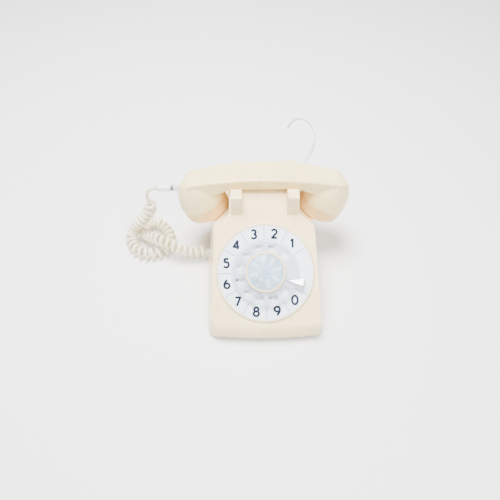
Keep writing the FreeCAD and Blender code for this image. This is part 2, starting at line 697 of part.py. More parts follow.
def hookswitch_contacts():
    """The stack of contact springs on the bracket's front."""
    stack = block(-7, 7, 18, 26, 66, 74)
    leaves = [block(-5 + 4 * i, -4.6 + 4 * i, 19, 25, 74, 90) for i in range(3)]
    return join([stack] + leaves)


# ---- Handset ------------------------------------------------------------------------
def on_ear(shape):
    """Move a turned piece from its own frame, with Z up from the cap's face, to the left ear."""
    moved = shape.copy()
    place = Placement(Vector(-CAP_X, CRADLE_Y, CAP_Z), Rotation(Vector(0, 1, 0), -CAP_TILT))
    moved.Placement = place.multiply(moved.Placement)
    return moved


def grip_top(x):
    """Height of the handset's arched top."""
    return GRIP_TOP - GRIP_DROP * (x / GRIP_END) ** 2


def grip():
    """The arched bar between the ears, with rounded edges."""
    wires = []
    lows = ((0, GRIP_BOTTOM), (24, GRIP_BOTTOM), (42, GRIP_BOTTOM), (52, 107.0), (63, 101.5), (77, 99.5),
            (GRIP_END, 99.5))
    stations = [(-x, z) for x, z in reversed(lows[1:])] + list(lows)
    front = CRADLE_Y - GRIP_HALF
    for x, low in stations:
        back = CRADLE_Y + GRIP_HALF + GRIP_BACK - GRIP_DRAW * (x / GRIP_END) ** 2
        corners = [(front + 0.8, low, 4), (back - 0.8, low, 4), (back, grip_top(x), 3), (front, grip_top(x), 3)]
        wires.append(rounded_wire(corners, lambda y, z, x=x: Vector(x, y, z)))
    return Part.makeLoft(wires, True, False)


def beyond_facet(inset):
    """Everything beyond the flat on the left ear's outer end, moved in by inset."""
    way = Vector(*EAR_FACET)
    back = CRADLE_Y + GRIP_HALF + GRIP_BACK - GRIP_DRAW
    corner = Vector(-GRIP_END, back, grip_top(GRIP_END))
    outside = Part.makeBox(60, 160, 160, Vector(0, -80, -80))
    outside.Placement = Placement(corner - way * inset, Rotation(Vector(1, 0, 0), way))
    return outside


def handset_handle():
    """The hollow handset: grip and two domed ears, open below where the caps screw in."""
    low = CAP_DEEP + 0.3
    dome = on_ear(turned([(0, low, 0), (CAP_R, low, 0), (CAP_R - 0.9, 23.9, 16), (26.8, 34.9, 22), (21.4, 45.9, 16),
                          (14.6, 55.1, 8), (0, 59.1, 0)]))
    hollow = on_ear(turned([(0, low - 2, 0), (27.7, low - 2, 0), (27.0, 22.9, 10), (24.1, 33.4, 15),
                            (18.8, 43.1, 12), (12, 51.3, 6), (0, 54.5, 0)])).cut(beyond_facet(2.6))
    way = [(-86, 108, 0), (-45, 115.6, 0), (45, 115.6, 0), (86, 108, 0), (86, 116, 0), (45, 123, 0),
           (-45, 123, 0), (-86, 116, 0)]
    channel = front_prism(way, CRADLE_Y - 11, CRADLE_Y + 11)
    socket = block(JACK_X - 26, JACK_X - 1, JACK_Y - 3.6, JACK_Y + 3.6, JACK_Z - 3.6, JACK_Z + 3.6)
    pocket = block(JACK_X - 7.3, JACK_X, JACK_Y - 4.9, JACK_Y + 4.9, JACK_Z - 4.9, JACK_Z + 4.9)
    facet = beyond_facet(0)
    body = grip().fuse([dome, mirrored(dome)])
    return body.cut([hollow, mirrored(hollow), channel, socket, pocket, facet, mirrored(facet)])


def cap(rings):
    """A screw-on cap with rings of sound holes, given as (count, circle radius, hole radius)."""
    shape = turned([(0, 1.2, 0), (21, 1.2, 3), (25, 0, 2), (CAP_R, 0, 2.5), (CAP_R, CAP_DEEP, 0.4),
                    (SKIRT_R, CAP_DEEP, 0), (SKIRT_R, SKIRT_TOP, 0), (25.2, SKIRT_TOP, 0), (25.2, 3.4, 1),
                    (0, 3.4, 0)])
    holes = []
    for count, circle, radius in rings:
        for i in range(count):
            holes.append(post(*polar(circle, 360 * i / count), radius, -2, 6))
    return on_ear(shape.cut(holes))


def transmitter_unit():
    """The carbon transmitter behind the mouthpiece cap."""
    return on_ear(turned([(0, 3.8, 0), (23.5, 3.8, 0.5), (23.5, 7.5, 0.5), (18, 9, 0), (18, 13, 1), (0, 13, 0)]))


def transmitter_cup():
    """The contact cup behind the transmitter."""
    return on_ear(turned([(0, 13.3, 0), (24, 13.3, 0), (24, 18.5, 1), (10, 18.5, 0), (10, 16, 0), (0, 16, 0)]))


def receiver_unit():
    """The receiver behind the earpiece cap."""
    unit = turned([(0, 3.8, 0), (24, 3.8, 0.5), (24, 8, 0.5), (20, 10, 0), (17, 19, 1), (0, 19, 0)])
    return mirrored(on_ear(unit))


def handset_jack():
    """The socket for the cord inside the left ear."""
    outer = block(JACK_X - 7.2, JACK_X, JACK_Y - 4.8, JACK_Y + 4.8, JACK_Z - 4.8, JACK_Z + 4.8)
    return outer.cut(block(JACK_X - 11, JACK_X - 1.5, JACK_Y - 3.6, JACK_Y + 3.6, JACK_Z - 3.6, JACK_Z + 3.6))


def swivel_plug():
    """The clear plug in the handset, with its stub towards the swivel."""
    body = block(JACK_X - 19, JACK_X - 2, JACK_Y - 3.3, JACK_Y + 3.3, JACK_Z - 3.3, JACK_Z + 3.3)
    tab = block(JACK_X - 17, JACK_X - 11, JACK_Y - 1.6, JACK_Y + 1.6, JACK_Z + 3.3, JACK_Z + 3.5)
    return join([body, tab])


def swivel_pin():
    """The dark collar and pin that the swivel turns on."""
    collar = rod((JACK_X - 19, JACK_Y, JACK_Z), (JACK_X - 22, JACK_Y, JACK_Z), 3.4)
    return join([collar, rod((JACK_X - 22, JACK_Y, JACK_Z), (JACK_X - 28, JACK_Y, JACK_Z), PIVOT_R)])


def swivel_body():
    """The white block that turns on the pin and holds the cord's end."""
    shape = turned([(0, 0, 0), (4.3, 0, 0.8), (4.3, SWIVEL_LONG - 3, 1.5), (3.0, SWIVEL_LONG, 1),
                    (0, SWIVEL_LONG, 0)])
    shape = shape.cut(post(0, 0, PIVOT_R + RUNNING, -1, 6.4))
    shape.rotate(Vector(0, 0, 0), Vector(0, 1, 0), -90)
    shape.translate(Vector(SWIVEL_X, JACK_Y, JACK_Z))
    return shape


# ---- Jacks, plugs and cords ---------------------------------------------------------
def body_plug():
    """The clear plug of the handset cord in the housing's left side."""
    x, y, z = BODY_JACK
    return join([block(x - 3.1, x + 10, y - 3.3, y + 3.3, z - 3.3, z + 3.3),
                 rod((x - 5.1, y, z), (x - 3.1, y, z), 2.6)])


def body_jack():
    """The socket inside the housing's left side."""
    x, y, z = BODY_JACK
    return block(x + 4.2, x + 13, y - 5.4, y + 5.4, z - 5.4, z + 5.4).cut(
        block(x, x + 11, y - 3.6, y + 3.6, z - 3.6, z + 3.6))


def line_plug():
    """The clear plug of the line cord at the back."""
    x, y, z = LINE_JACK
    return join([block(x - 3.3, x + 3.3, y - 9, y + 4, 2.4, z + 3),
                 rod((x, y + 4, z), (x, y + 6, z), 2.3)])


def line_jack():
    """The socket for the line cord inside the back of the housing."""
    x, y, z = LINE_JACK
    return block(x - 4.8, x + 4.8, y - 14, y - 4, 3.4, z + 5).cut(
        block(x - 3.6, x + 3.6, y - 10, y, 1, z + 3.3))


def cord_tube(name, route, diameter):
    """A tube along straight runs joined by tangent arcs as large as the runs allow."""
    points = [Vector(*point) for point in route]
    edges, radii, start = [], [], points[0]
    for before, here, after in zip(points, points[1:], points[2:]):
        back, ahead = before - here, after - here
        run = 0.45 * min(back.Length, ahead.Length)
        back.normalize()
        ahead.normalize()
        half = back.getAngle(ahead) / 2
        radius = run * math.tan(half)
        inward = (back + ahead).normalize()
        middle = here + inward * (radius / math.sin(half) - radius)
        entry, leave = here + back * run, here + ahead * run
        edges.append(Part.LineSegment(start, entry).toShape())
        edges.append(Part.Arc(entry, middle, leave).toShape())
        radii.append(radius)
        start = leave
    edges.append(Part.LineSegment(start, points[-1]).toShape())
    path = Part.Wire(edges)
    section = Part.Wire(Part.Circle(points[0], points[1] - points[0], diameter / 2).toShape())
    solid = path.makePipeShell([section], True, False)
    expected = math.pi * (diameter / 2) ** 2 * path.Length
    print(f"{name}: length {path.Length:.1f}, volume {solid.Volume / expected:.4f} of section x length")
    print("  arc radii " + " ".join(f"{radius:.0f}" for radius in radii))
    return solid


def main():
    """Make and write every piece."""
    os.makedirs("parts", exist_ok=True)
    save("housing", housing(housing_form(0), housing_form(WALL)))
    save("base_plate", base_plate())
    save("rubber_feet", rubber_feet())
    save("housing_screws", housing_screws())
    on_face = {
        "dial_rim": dial_rim(), "number_plate": number_plate(), "dial_frame": dial_frame(),
        "dial_screws": dial_screws(), "mechanism_plate": mechanism_plate(), "main_gear": main_gear(),
        "dial_shaft": dial_shaft(), "wheel_screw": wheel_screw(), "finger_wheel": finger_wheel(),
        "card_ring": card_ring(), "number_card": number_card(), "card_window": card_window(),
        "finger_stop": finger_stop(), "dial_spring": dial_spring(), "pulse_pinion": pulse_pinion(),
        "pulse_cam": pulse_cam(), "pulse_contacts": pulse_contacts(), "governor_pinion": governor_pinion(),
        "governor_weights": governor_weights(), "governor_cup": governor_cup()}
    for name, shape in on_face.items():
        save(name, on_dial(shape))
    save("dial_bracket_right", dial_bracket())
    save("dial_bracket_left", mirrored(dial_bracket()))
    save("gong_front", gong(GONG_Y[0]))
    save("gong_rear", gong(GONG_Y[1]))
    save("gong_posts", gong_posts())
    save("ringer_frame", ringer_frame())
    save("ringer_coil", ringer_coil())
    save("ringer_core", ringer_core())
    save("clapper", clapper())
    save("loudness_wheel", loudness_wheel())
    save("loudness_bracket", loudness_bracket())
    save("network_block", network_block())
    save("network_screws", network_screws())
    save("hookswitch_bracket", Part.makeCompound([hookswitch_bracket(), spring_post()]))
    save("hookswitch_lever", hookswitch_lever())
    save("hookswitch_contacts", hookswitch_contacts())
    save("hook_yoke", hook_yoke())
    save("hook_spring", hook_spring())
    save("plunger_left", plunger(-HORN_X))
    save("plunger_right", plunger(HORN_X))
    save("handset_handle", handset_handle())
    save("transmitter_cap", cap([(1, 0, 1.3), (6, 6, 1.3), (12, 12, 1.3)]))
    save("receiver_cap", mirrored(cap([(1, 0, 1.6), (6, 6, 1.6)])))
    save("transmitter_unit", transmitter_unit())
    save("transmitter_cup", transmitter_cup())
    save("receiver_unit", receiver_unit())
    save("handset_jack", handset_jack())
    save("swivel_plug", swivel_plug())
    save("swivel_pin", swivel_pin())
    save("swivel_body", swivel_body())
    save("body_plug", body_plug())
    save("line_plug", line_plug())
    save("line_jacks", Part.makeCompound([body_jack(), line_jack()]))
    save("handset_cord_tail", cord_tube("handset_cord_tail", TAIL_ROUTE, CORD_D))
    save("handset_cord_coil", cord_tube("handset_cord_coil", COIL_ROUTE, COIL_D))
    save("line_cord", cord_tube("line_cord", LINE_ROUTE, LINE_D))


main()
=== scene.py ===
"""Rotary desk telephone: finishes, printed dial, cords and small fittings over its CAD frame."""
import json
import math

import bmesh
import bpy
from bpy.props import FloatProperty, FloatVectorProperty, IntProperty, PointerProperty
from bpy.types import Operator, Panel, PropertyGroup
from mathutils import Matrix, Vector


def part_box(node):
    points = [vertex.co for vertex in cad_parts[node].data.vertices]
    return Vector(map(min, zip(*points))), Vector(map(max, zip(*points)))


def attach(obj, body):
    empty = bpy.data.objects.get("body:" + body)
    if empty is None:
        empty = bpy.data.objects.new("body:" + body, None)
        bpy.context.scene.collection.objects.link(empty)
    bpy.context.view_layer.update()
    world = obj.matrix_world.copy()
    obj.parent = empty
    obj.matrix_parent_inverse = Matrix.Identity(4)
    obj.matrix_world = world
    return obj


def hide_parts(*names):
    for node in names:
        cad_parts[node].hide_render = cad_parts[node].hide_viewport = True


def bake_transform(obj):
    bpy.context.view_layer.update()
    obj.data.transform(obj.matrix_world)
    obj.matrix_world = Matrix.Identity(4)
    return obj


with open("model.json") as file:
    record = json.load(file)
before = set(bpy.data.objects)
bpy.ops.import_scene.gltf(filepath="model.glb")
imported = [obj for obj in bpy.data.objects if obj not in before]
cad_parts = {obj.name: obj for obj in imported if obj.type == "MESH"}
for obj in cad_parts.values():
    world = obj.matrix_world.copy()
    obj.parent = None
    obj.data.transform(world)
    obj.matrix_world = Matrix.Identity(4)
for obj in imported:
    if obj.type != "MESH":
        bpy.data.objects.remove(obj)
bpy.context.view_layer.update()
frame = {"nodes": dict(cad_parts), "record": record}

bl_info = {
    "name": "Rotary Desk Telephone",
    "version": (1, 0, 0),
    "blender": (4, 5, 0),
    "location": "3D View > Sidebar > Telephone",
    "description": "Finishes and fittings for a rotary desk telephone",
    "category": "Object",
}

MM = 0.001

# ---- Places read from the frame -----------------------------------------------------
JOINTS = {joint["name"]: joint for joint in frame["record"]["behaviour"]["joints"]}
DIAL_CENTRE = Vector(JOINTS["dial_turn"]["pos_m"])
DIAL_OUT = -Vector(JOINTS["dial_turn"]["axis"]).normalized()
DIAL_UP = DIAL_OUT.cross(Vector((1, 0, 0))).normalized()
DIAL_MATRIX = Matrix((
    (1, DIAL_UP.x, DIAL_OUT.x, DIAL_CENTRE.x),
    (0, DIAL_UP.y, DIAL_OUT.y, DIAL_CENTRE.y),
    (0, DIAL_UP.z, DIAL_OUT.z, DIAL_CENTRE.z),
    (0, 0, 0, 1)))

PLATE_TOP = 1.82 * MM      # printed surface above the housing's face
CARD_TOP = 11.22 * MM      # card's surface above the housing's face

# Straight tail of the handset cord, then the axis of its turns, as in the CAD model.
TAIL_ROUTE = [
    (-0.1381, 0.0610, 0.0987), (-0.1426, 0.0616, 0.0980), (-0.1476, 0.0619, 0.0954),
    (-0.1515, 0.0619, 0.0910), (-0.1537, 0.0617, 0.0856), (-0.1539, 0.0612, 0.0800)]
COIL_ROUTE = [
    (-0.1526, 0.0606, 0.0749), (-0.1514, 0.0588, 0.0660), (-0.1555, 0.0562, 0.0560),
    (-0.1635, 0.0552, 0.0460), (-0.1730, 0.0560, 0.0350), (-0.1813, 0.0570, 0.0240),
    (-0.1868, 0.0525, 0.0146), (-0.1870, 0.0420, 0.0098), (-0.1810, 0.0305, 0.0093),
    (-0.1708, 0.0228, 0.0093), (-0.1580, 0.0206, 0.0093), (-0.1450, 0.0228, 0.0093),
    (-0.1348, 0.0295, 0.0093), (-0.1302, 0.0410, 0.0093), (-0.1328, 0.0535, 0.0093),
    (-0.1395, 0.0650, 0.0093), (-0.1490, 0.0745, 0.0093), (-0.1588, 0.0786, 0.0093),
    (-0.1676, 0.0758, 0.0093), (-0.1718, 0.0675, 0.0097), (-0.1706, 0.0574, 0.0110),
    (-0.1640, 0.0480, 0.0155), (-0.1545, 0.0396, 0.0223), (-0.1440, 0.0318, 0.0273),
    (-0.1325, 0.0250, 0.0280), (-0.1205, 0.0204, 0.0238), (-0.1070, 0.0184, 0.0182),
    (-0.0926, 0.0182, 0.0154), (-0.0791, 0.0190, 0.0150)]
LINE_ROUTE = [
    (0.0480, 0.1142, 0.0054), (0.0484, 0.1210, 0.0047), (0.0494, 0.1295, 0.0033), (0.0512, 0.1395, 0.0025),
    (0.0540, 0.1515, 0.0024), (0.0586, 0.1660, 0.0024), (0.0654, 0.1850, 0.0024), (0.0744, 0.2070, 0.0024),
    (0.0846, 0.2290, 0.0024), (0.0930, 0.2500, 0.0024), (0.0982, 0.2700, 0.0024), (0.0994, 0.2860, 0.0024),
    (0.0978, 0.2995, 0.0024), (0.0936, 0.3110, 0.0024), (0.0880, 0.3200, 0.0024), (0.0808, 0.3260, 0.0024),
    (0.0720, 0.3268, 0.0024), (0.0640, 0.3218, 0.0024), (0.0578, 0.3130, 0.0024), (0.0536, 0.3026, 0.0024)]

DIGITS = "1234567890"
LETTERS = ["", "ABC", "DEF", "GHI", "JKL", "MNO", "PRS", "TUV", "WXY", ""]
FIRST_NUMERAL = 45         # degrees round the dial
NUMERAL_STEP = 30
FIGURE_MIDDLE = (0.35, 0.5)    # of a figure one unit high
SHARP_CORNER = math.radians(35)
CORNER_GAP = 0.012         # from a sharp corner to the points beside it
LETTER_SQUEEZE = 0.86      # letters' width against their height
LETTER_WEIGHT = 0.012      # how much a letter's outline is thickened
PRINT_THICKNESS = 0.04 * MM    # of the card's print
PRINT_LAYER = 0.03 * MM    # step from one layer of the card's print to the next

# Marks on the handset, and the painted shadow along the finger stop's lower edge and outer end.
GRIP_SMUDGE = (-0.006, 0.046, 0.130)
EAR_FLECK = (-0.0965, 0.030, 0.094)
STOP_SHADOWS = ((4, 69.3, -1.5, 1.2), (5, 164.0, -47.9, 1.1))    # row, degrees, edge and depth in mm

# The lie of the cords, in metres.
TURN_RAMP = 0.005          # over which the first and last turn open out
TAIL_STEP = 0.003
JOIN_GAP = 0.0015          # least distance from the tail's end to the first turn
SLOW_WAVE, SLOW_RATE, SLOW_PHASE = 0.03, 71, 1.3    # unevenness of the turns along the cord
QUICK_WAVE, QUICK_RATE = 0.035, 190
WIDEST_TURN = 1.03
LINE_STEP = 0.0015
LEAN_FROM, LEAN_OVER, FULL_LEAN = 0.105, 0.075, math.radians(82)
SETTLE_OVER = 0.03         # distance in which the line cord comes down to the table
TABLE_GAP = 0.0001
STRAND_COUNT, STRAND_RADIUS, STRAND_PITCH, STRAND_SPREAD = 4, 0.00032, 0.00095, 0.00012
STRAND_ROOT, STRAND_BEND, STRAND_TIP = 0.001, 0.0014, 0.0028
CONTACT_PITCH, WIRE_PITCH = 1.27 * MM, 1.13 * MM

# Camera, lights and table top.
CAMERA_PLACE = Vector((-0.01879, -0.33961, 0.51147))
SENSOR_WIDTH = 36
LIT_SPOT = Vector((0, 0.02, 0.04))
KEY_PLACE, KEY_SIZE = (-0.20, 0.22, 1.35), 0.7
FILL_PLACE, FILL_SIZE = (0.35, -0.75, 1.10), 0.8
TABLE_HALF, TABLE_DROP = 4, 0.0002

NODE_SPACING = 200
SAME_POINT = 1e-6
RING_TREE, ROW_TREE = "Bars round a circle", "Blocks in a row"


# ---- Settings -----------------------------------------------------------------------
def colour(name, default, description):
    """A linear colour setting."""
    return FloatVectorProperty(
        name=name, description=description, default=default, subtype="COLOR", size=3, min=0, max=1)


def length(name, millimetres, description):
    """A length setting in metres, with its default given in millimetres."""
    return FloatProperty(
        name=name, description=description, default=millimetres * MM, unit="LENGTH", min=0, precision=5)


class TelephoneColours(PropertyGroup):
    """Colours of the telephone's finishes."""

    moulding: colour("Housing", (0.98, 0.78, 0.44), "Ivory plastic of the housing")
    moulding_aged: colour("Housing, aged", (0.97, 0.69, 0.33), "Where the housing has yellowed")
    handset: colour("Handset", (0.97, 0.79, 0.39), "Ivory plastic of the handset")
    handset_aged: colour("Handset, aged", (0.94, 0.69, 0.27), "Where the handset has yellowed")
    # The caps' darker, warmer ivory is partly painted shade: they are the same plastic as the handset,
    # coloured darker where they look tan in shadow.
    cap: colour("Caps", (0.94, 0.62, 0.24), "Ear and mouthpiece caps")
    plate: colour("Number plate", (0.80, 0.90, 0.97), "Ground of the number plate")
    ink: colour("Print", (0.010, 0.014, 0.028), "Numerals, letters and lines")
    wheel: colour("Finger wheel", (0.76, 0.73, 0.92), "Clear plastic wheel")
    gilt: colour("Rims", (0.80, 0.70, 0.46), "Dial rim and card ring")
    card: colour("Card", (0.27, 0.45, 0.66), "Paper card in the middle of the dial")
    cord: colour("Handset cord", (0.90, 0.82, 0.62), "Jacket of the curly cord")
    line: colour("Line cord", (0.78, 0.78, 0.76), "Jacket of the flat line cord")
    floor: colour("Floor", (0.90, 0.90, 0.90), "Table top and backdrop")


class TelephoneSizes(PropertyGroup):
    """Sizes of the printed dial and the cords."""

    numeral_height: length("Numeral height", 13.2, "Height of the large numerals")
    numeral_circle: length("Numeral circle", 49.0, "Radius of the circle of numerals")
    pen_width: length("Pen width", 2.8, "Width of the numerals' strokes")
    print_turn: FloatProperty(
        name="Print turn", description="How far the print is turned round the dial",
        default=math.radians(1.2), subtype="ANGLE")
    letter_height: length("Letter height", 3.7, "Height of the small letters")
    letter_circle: length("Letter circle", 32.6, "Radius of the circle of letter groups")
    line_inner: length("Line start", 41.5, "Inner end of a dividing line")
    line_outer: length("Line end", 57.8, "Outer end of a dividing line")
    line_width: length("Line width", 0.55, "Width of a dividing line")
    print_depth: length("Print depth", 0.12, "Thickness of the printed shapes")
    cord_diameter: length("Cord diameter", 4.8, "Diameter of the handset cord")
    turn_radius: length("Turn radius", 6.5, "Radius of a turn, to the cord's middle")
    turn_pitch: length("Turn pitch", 8.3, "Distance between neighbouring turns")
    line_width_cord: length("Line cord width", 4.6, "Width of the flat line cord")
    line_thickness: length("Line cord thickness", 2.3, "Thickness of the flat line cord")
    points_per_turn: IntProperty(
        name="Points per turn", description="Points on each turn of the cord", default=14, min=12, max=32)


class TelephoneStage(PropertyGroup):
    """Camera and light."""

    elevation: FloatProperty(
        name="Elevation", description="Camera's angle above the horizontal", default=math.radians(54.0),
        subtype="ANGLE")
    turn: FloatProperty(
        name="Turn", description="Camera's place round the dial", default=math.radians(-0.7), subtype="ANGLE")
    lens: FloatProperty(
        name="Lens", description="Focal length in millimetres", default=31.68, min=10, max=200)
    key_power: FloatProperty(
        name="Key light", description="Power of the main soft light", default=76.0, min=0)
    fill_power: FloatProperty(
        name="Fill light", description="Power of the fill light", default=18.0, min=0)
    sky: FloatProperty(name="Sky", description="Strength of the even light all round", default=0.80, min=0)


# ---- Mesh helpers -------------------------------------------------------------------
def add_object(name, data):
    """Link a mesh, curve, lamp or camera as a new object."""
    piece = bpy.data.objects.new(name, data)
    bpy.context.scene.collection.objects.link(piece)
    return piece


def baked(source, name, matrix=None):
    """A plain mesh object from an object's evaluated shape; the source is removed."""
    bpy.context.view_layer.update()
    graph = bpy.context.evaluated_depsgraph_get()
    mesh = bpy.data.meshes.new_from_object(source.evaluated_get(graph), depsgraph=graph)
    data = source.data
    bpy.data.objects.remove(source)
    if isinstance(data, bpy.types.Curve):
        bpy.data.curves.remove(data)
    if matrix is not None:
        mesh.transform(matrix)
    mesh.name = name
    return add_object(name, mesh)


def built(name, mesh):
    """An object from an edited mesh, which is freed."""
    data = bpy.data.meshes.new(name)
    mesh.to_mesh(data)
    mesh.free()
    return add_object(name, data)


def joined(name, pieces):
    """One object from several plain mesh objects."""
    merged = bmesh.new()
    for piece in pieces:
        merged.from_mesh(piece.data)
        bpy.data.objects.remove(piece)
    return built(name, merged)


def coat(piece, finish):
    """Give a mesh piece one finish all over."""
    piece.data.materials.clear()
    piece.data.materials.append(finishes()[finish])


def finish_piece(piece, body, finish=None):
    """Give a piece its body and its finish."""
    if finish:
        coat(piece, finish)
    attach(piece, body)
    return piece


def line_object(name, runs, kind="POLY", radius=0.0, detail=12):
    """A curve through runs of points, round when it has a radius; a run back to its start is closed."""
    curve = bpy.data.curves.new(name, "CURVE")
    curve.dimensions = "3D"
    curve.bevel_depth = radius
    curve.bevel_resolution = 2
    curve.use_fill_caps = True
    for points in runs:
        closed = math.dist(points[0], points[-1]) < SAME_POINT
        points = points[:-1] if closed else points
        spline = curve.splines.new(kind)
        spline.points.add(len(points) - 1)
        for slot, point in zip(spline.points, points):
            slot.co = (*point, 1)
        spline.use_cyclic_u = closed
        if kind == "NURBS":
            spline.order_u = 3
            spline.use_endpoint_u = True
            spline.resolution_u = detail
    return add_object(name, curve)


def tube_mesh(name, path, sections):
    """A closed mesh tube: one ring of points round each point of the path."""
    mesh = bmesh.new()
    rings = [[mesh.verts.new(point) for point in section] for section in sections]
    count = len(rings[0])
    for first, second in zip(rings, rings[1:]):
        for i in range(count):
            mesh.faces.new((first[i], first[(i + 1) % count], second[(i + 1) % count], second[i]))
    for ring, centre, flip in ((rings[0], path[0], True), (rings[-1], path[-1], False)):
        middle = mesh.verts.new(centre)
        for i in range(count):
            edge = (ring[i], ring[(i + 1) % count])
            mesh.faces.new((middle, *(reversed(edge) if flip else edge)))
    bmesh.ops.recalc_face_normals(mesh, faces=mesh.faces)
    return built(name, mesh)


def smooth_line(points):
    """Points along the smooth spline that has the given control points."""
    line = baked(line_object("route", [points], "NURBS", detail=24), "route")
    data = line.data
    found = [vertex.co.copy() for vertex in data.vertices]
    bpy.data.objects.remove(line)
    bpy.data.meshes.remove(data)
    return found


def smooth_step(value):
    """A value kept to 0 to 1 and eased at both ends."""
    value = max(0.0, min(1.0, value))
    return value * value * (3 - 2 * value)


def walk(points, step):
    """Evenly spaced places along a line: (position, direction, distance) at each."""
    places, travelled, due = [], 0.0, 0.0
    for start, end in zip(points, points[1:]):
        span = (end - start).length
        while span > 0 and due <= travelled + span:
            places.append((start.lerp(end, (due - travelled) / span), (end - start).normalized(), due))
            due += step
        travelled += span
    return places, travelled


def frames_along(places):
    """A side vector at each place, carried along the line without twisting."""
    side = places[0][1].orthogonal().normalized()
    sides = []
    for _, direction, _ in places:
        side = (side - direction * side.dot(direction)).normalized()
        sides.append(side)
    return sides


# ---- Node helpers -------------------------------------------------------------------
def feed(tree, slot, value):
    """Link a socket to an input, or set the input's own value."""
    if isinstance(value, bpy.types.NodeSocket):
        tree.links.new(value, slot)
    else:
        slot.default_value = (*tuple(value)[:3], 1) if slot.type == "RGBA" else value


def feed_all(tree, node, values):
    """Feed several inputs of a node, given by name or number."""
    for key, value in values.items():
        feed(tree, node.inputs[key], value)


def add_node(tree, kind, place, values=None, **settings):
    """A node at a place in the tree, with its settings and inputs."""
    node = tree.nodes.new(kind)
    node.location = (place[0] * NODE_SPACING, place[1] * NODE_SPACING)
    for key, value in settings.items():
        setattr(node, key, value)
    feed_all(tree, node, values or {})
    return node


def math_node(tree, operation, place, *values, clamp=False):
    """The result of a Math node whose inputs are numbers or sockets."""
    return add_node(tree, "ShaderNodeMath", place, dict(enumerate(values)),
                    operation=operation, use_clamp=clamp).outputs[0]


def mix_colour(tree, place, factor, first, second, blend="MIX"):
    """The result of a colour Mix node whose inputs are colours or sockets."""
    return add_node(tree, "ShaderNodeMix", place, {0: factor, 6: first, 7: second}, data_type="RGBA",
                    blend_type=blend, clamp_factor=True).outputs[2]


def noise(tree, place, vector, scale, detail=2.0, roughness=0.5):
    """A noise value from 0 to 1."""
    return add_node(tree, "ShaderNodeTexNoise", place, {
        "Vector": vector, "Scale": scale, "Detail": detail, "Roughness": roughness}).outputs["Fac"]


def ramp(tree, place, value, low, high):
    """Stretch the part of a value between low and high to 0 to 1."""
    return add_node(tree, "ShaderNodeMapRange", place, {"Value": value, "From Min": low, "From Max": high},
                    interpolation_type="SMOOTHSTEP").outputs["Result"]


def object_point(tree, place):
    """Object coordinates."""
    return add_node(tree, "ShaderNodeTexCoord", place).outputs["Object"]


def object_vector(tree, place, scale=(1, 1, 1)):
    """Object coordinates, stretched."""
    return add_node(tree, "ShaderNodeMapping", (place[0] + 1, place[1]), {
        "Vector": object_point(tree, place), "Scale": scale}).outputs["Vector"]


def new_group(name, inputs, outputs):
    """An empty shader node group with named sockets: (tree, given values, output node)."""
    tree = bpy.data.node_groups.new(name, "ShaderNodeTree")
    for label, default in inputs.items():
        kind = "NodeSocketFloat" if isinstance(default, float) else "NodeSocketColor"
        tree.interface.new_socket(label, in_out="INPUT", socket_type=kind).default_value = default
    for label in outputs:
        kind = "NodeSocketColor" if label == "Color" else "NodeSocketFloat"
        tree.interface.new_socket(label, in_out="OUTPUT", socket_type=kind)
    return tree, add_node(tree, "NodeGroupInput", (-6, 0)).outputs, add_node(tree, "NodeGroupOutput", (6, 0))


def moulding_group():
    """Moulded plastic: slow yellowing, fine mottling, faint scratches and orange peel."""
    tree, given, put = new_group("Moulded plastic", {
        "Color": (0.8, 0.8, 0.8, 1), "Aged Color": (0.7, 0.6, 0.4, 1), "Ageing": 0.5, "Roughness": 0.3,
        "Peel": 0.3, "Scratches": 0.3}, ("Color", "Roughness", "Height"))
    place = object_vector(tree, (-6, -2))
    broad = noise(tree, (-4, 1), place, scale=9, detail=4, roughness=0.6)
    broad = ramp(tree, (-3, 1), broad, low=0.40, high=0.74)
    ageing = math_node(tree, "MULTIPLY", (-2, 1), broad, given["Ageing"])
    aged = mix_colour(tree, (-1, 1), ageing, given["Color"], given["Aged Color"])
    mottle = noise(tree, (-4, 0), place, scale=160, detail=3)
    shade = math_node(tree, "MULTIPLY_ADD", (-3, 0), mottle, 0.05, 0.975)
    thin = object_vector(tree, (-6, -4), scale=(1.0, 0.06, 0.35))
    lines = ramp(tree, (-3, -3), noise(tree, (-4, -3), thin, scale=900), low=0.63, high=0.70)
    patch = ramp(tree, (-3, -4), noise(tree, (-4, -4), place, scale=30), low=0.50, high=0.66)
    scratch = math_node(tree, "MULTIPLY", (-2, -3), lines, patch)
    scratch = math_node(tree, "MULTIPLY", (-1, -3), scratch, given["Scratches"])
    peel = math_node(tree, "MULTIPLY", (-1, -1), noise(tree, (-4, -1), place, scale=700), given["Peel"])
    rough = math_node(tree, "MULTIPLY_ADD", (0, 0), mottle, 0.12, given["Roughness"])
    scuff = math_node(tree, "MULTIPLY", (0, -1), scratch, 0.25)
    feed_all(tree, put, {
        "Color": mix_colour(tree, (0, 1), 1.0, aged, shade, "MULTIPLY"),
        "Roughness": math_node(tree, "ADD", (1, 0), rough, scuff, clamp=True),
        "Height": math_node(tree, "SUBTRACT", (1, -2), peel, scratch)})
    return tree


def soiling_group():
    """Grime that gathers in soft patches, darker towards the table."""
    tree, given, put = new_group("Soiling", {
        "Color": (0.8, 0.8, 0.8, 1), "Grime": (0.25, 0.17, 0.09, 1), "Amount": 0.3, "Reach": 0.02},
        ("Color", "Mask"))
    place = object_vector(tree, (-6, -2))
    split = add_node(tree, "ShaderNodeSeparateXYZ", (-4, -2), {0: place})
    low = math_node(tree, "DIVIDE", (-3, -2), split.outputs["Z"], given["Reach"])
    low = math_node(tree, "SUBTRACT", (-2, -2), 1.0, low, clamp=True)
    patches = noise(tree, (-4, 0), place, scale=60, detail=6, roughness=0.65)
    patches = ramp(tree, (-3, 0), patches, low=0.48, high=0.80)
    mask = math_node(tree, "MULTIPLY_ADD", (-1, -1), low, 0.5, patches)
    mask = math_node(tree, "MULTIPLY", (0, -1), mask, given["Amount"], clamp=True)
    feed_all(tree, put, {
        "Color": mix_colour(tree, (2, 0), mask, given["Color"], given["Grime"]), "Mask": mask})
    return tree


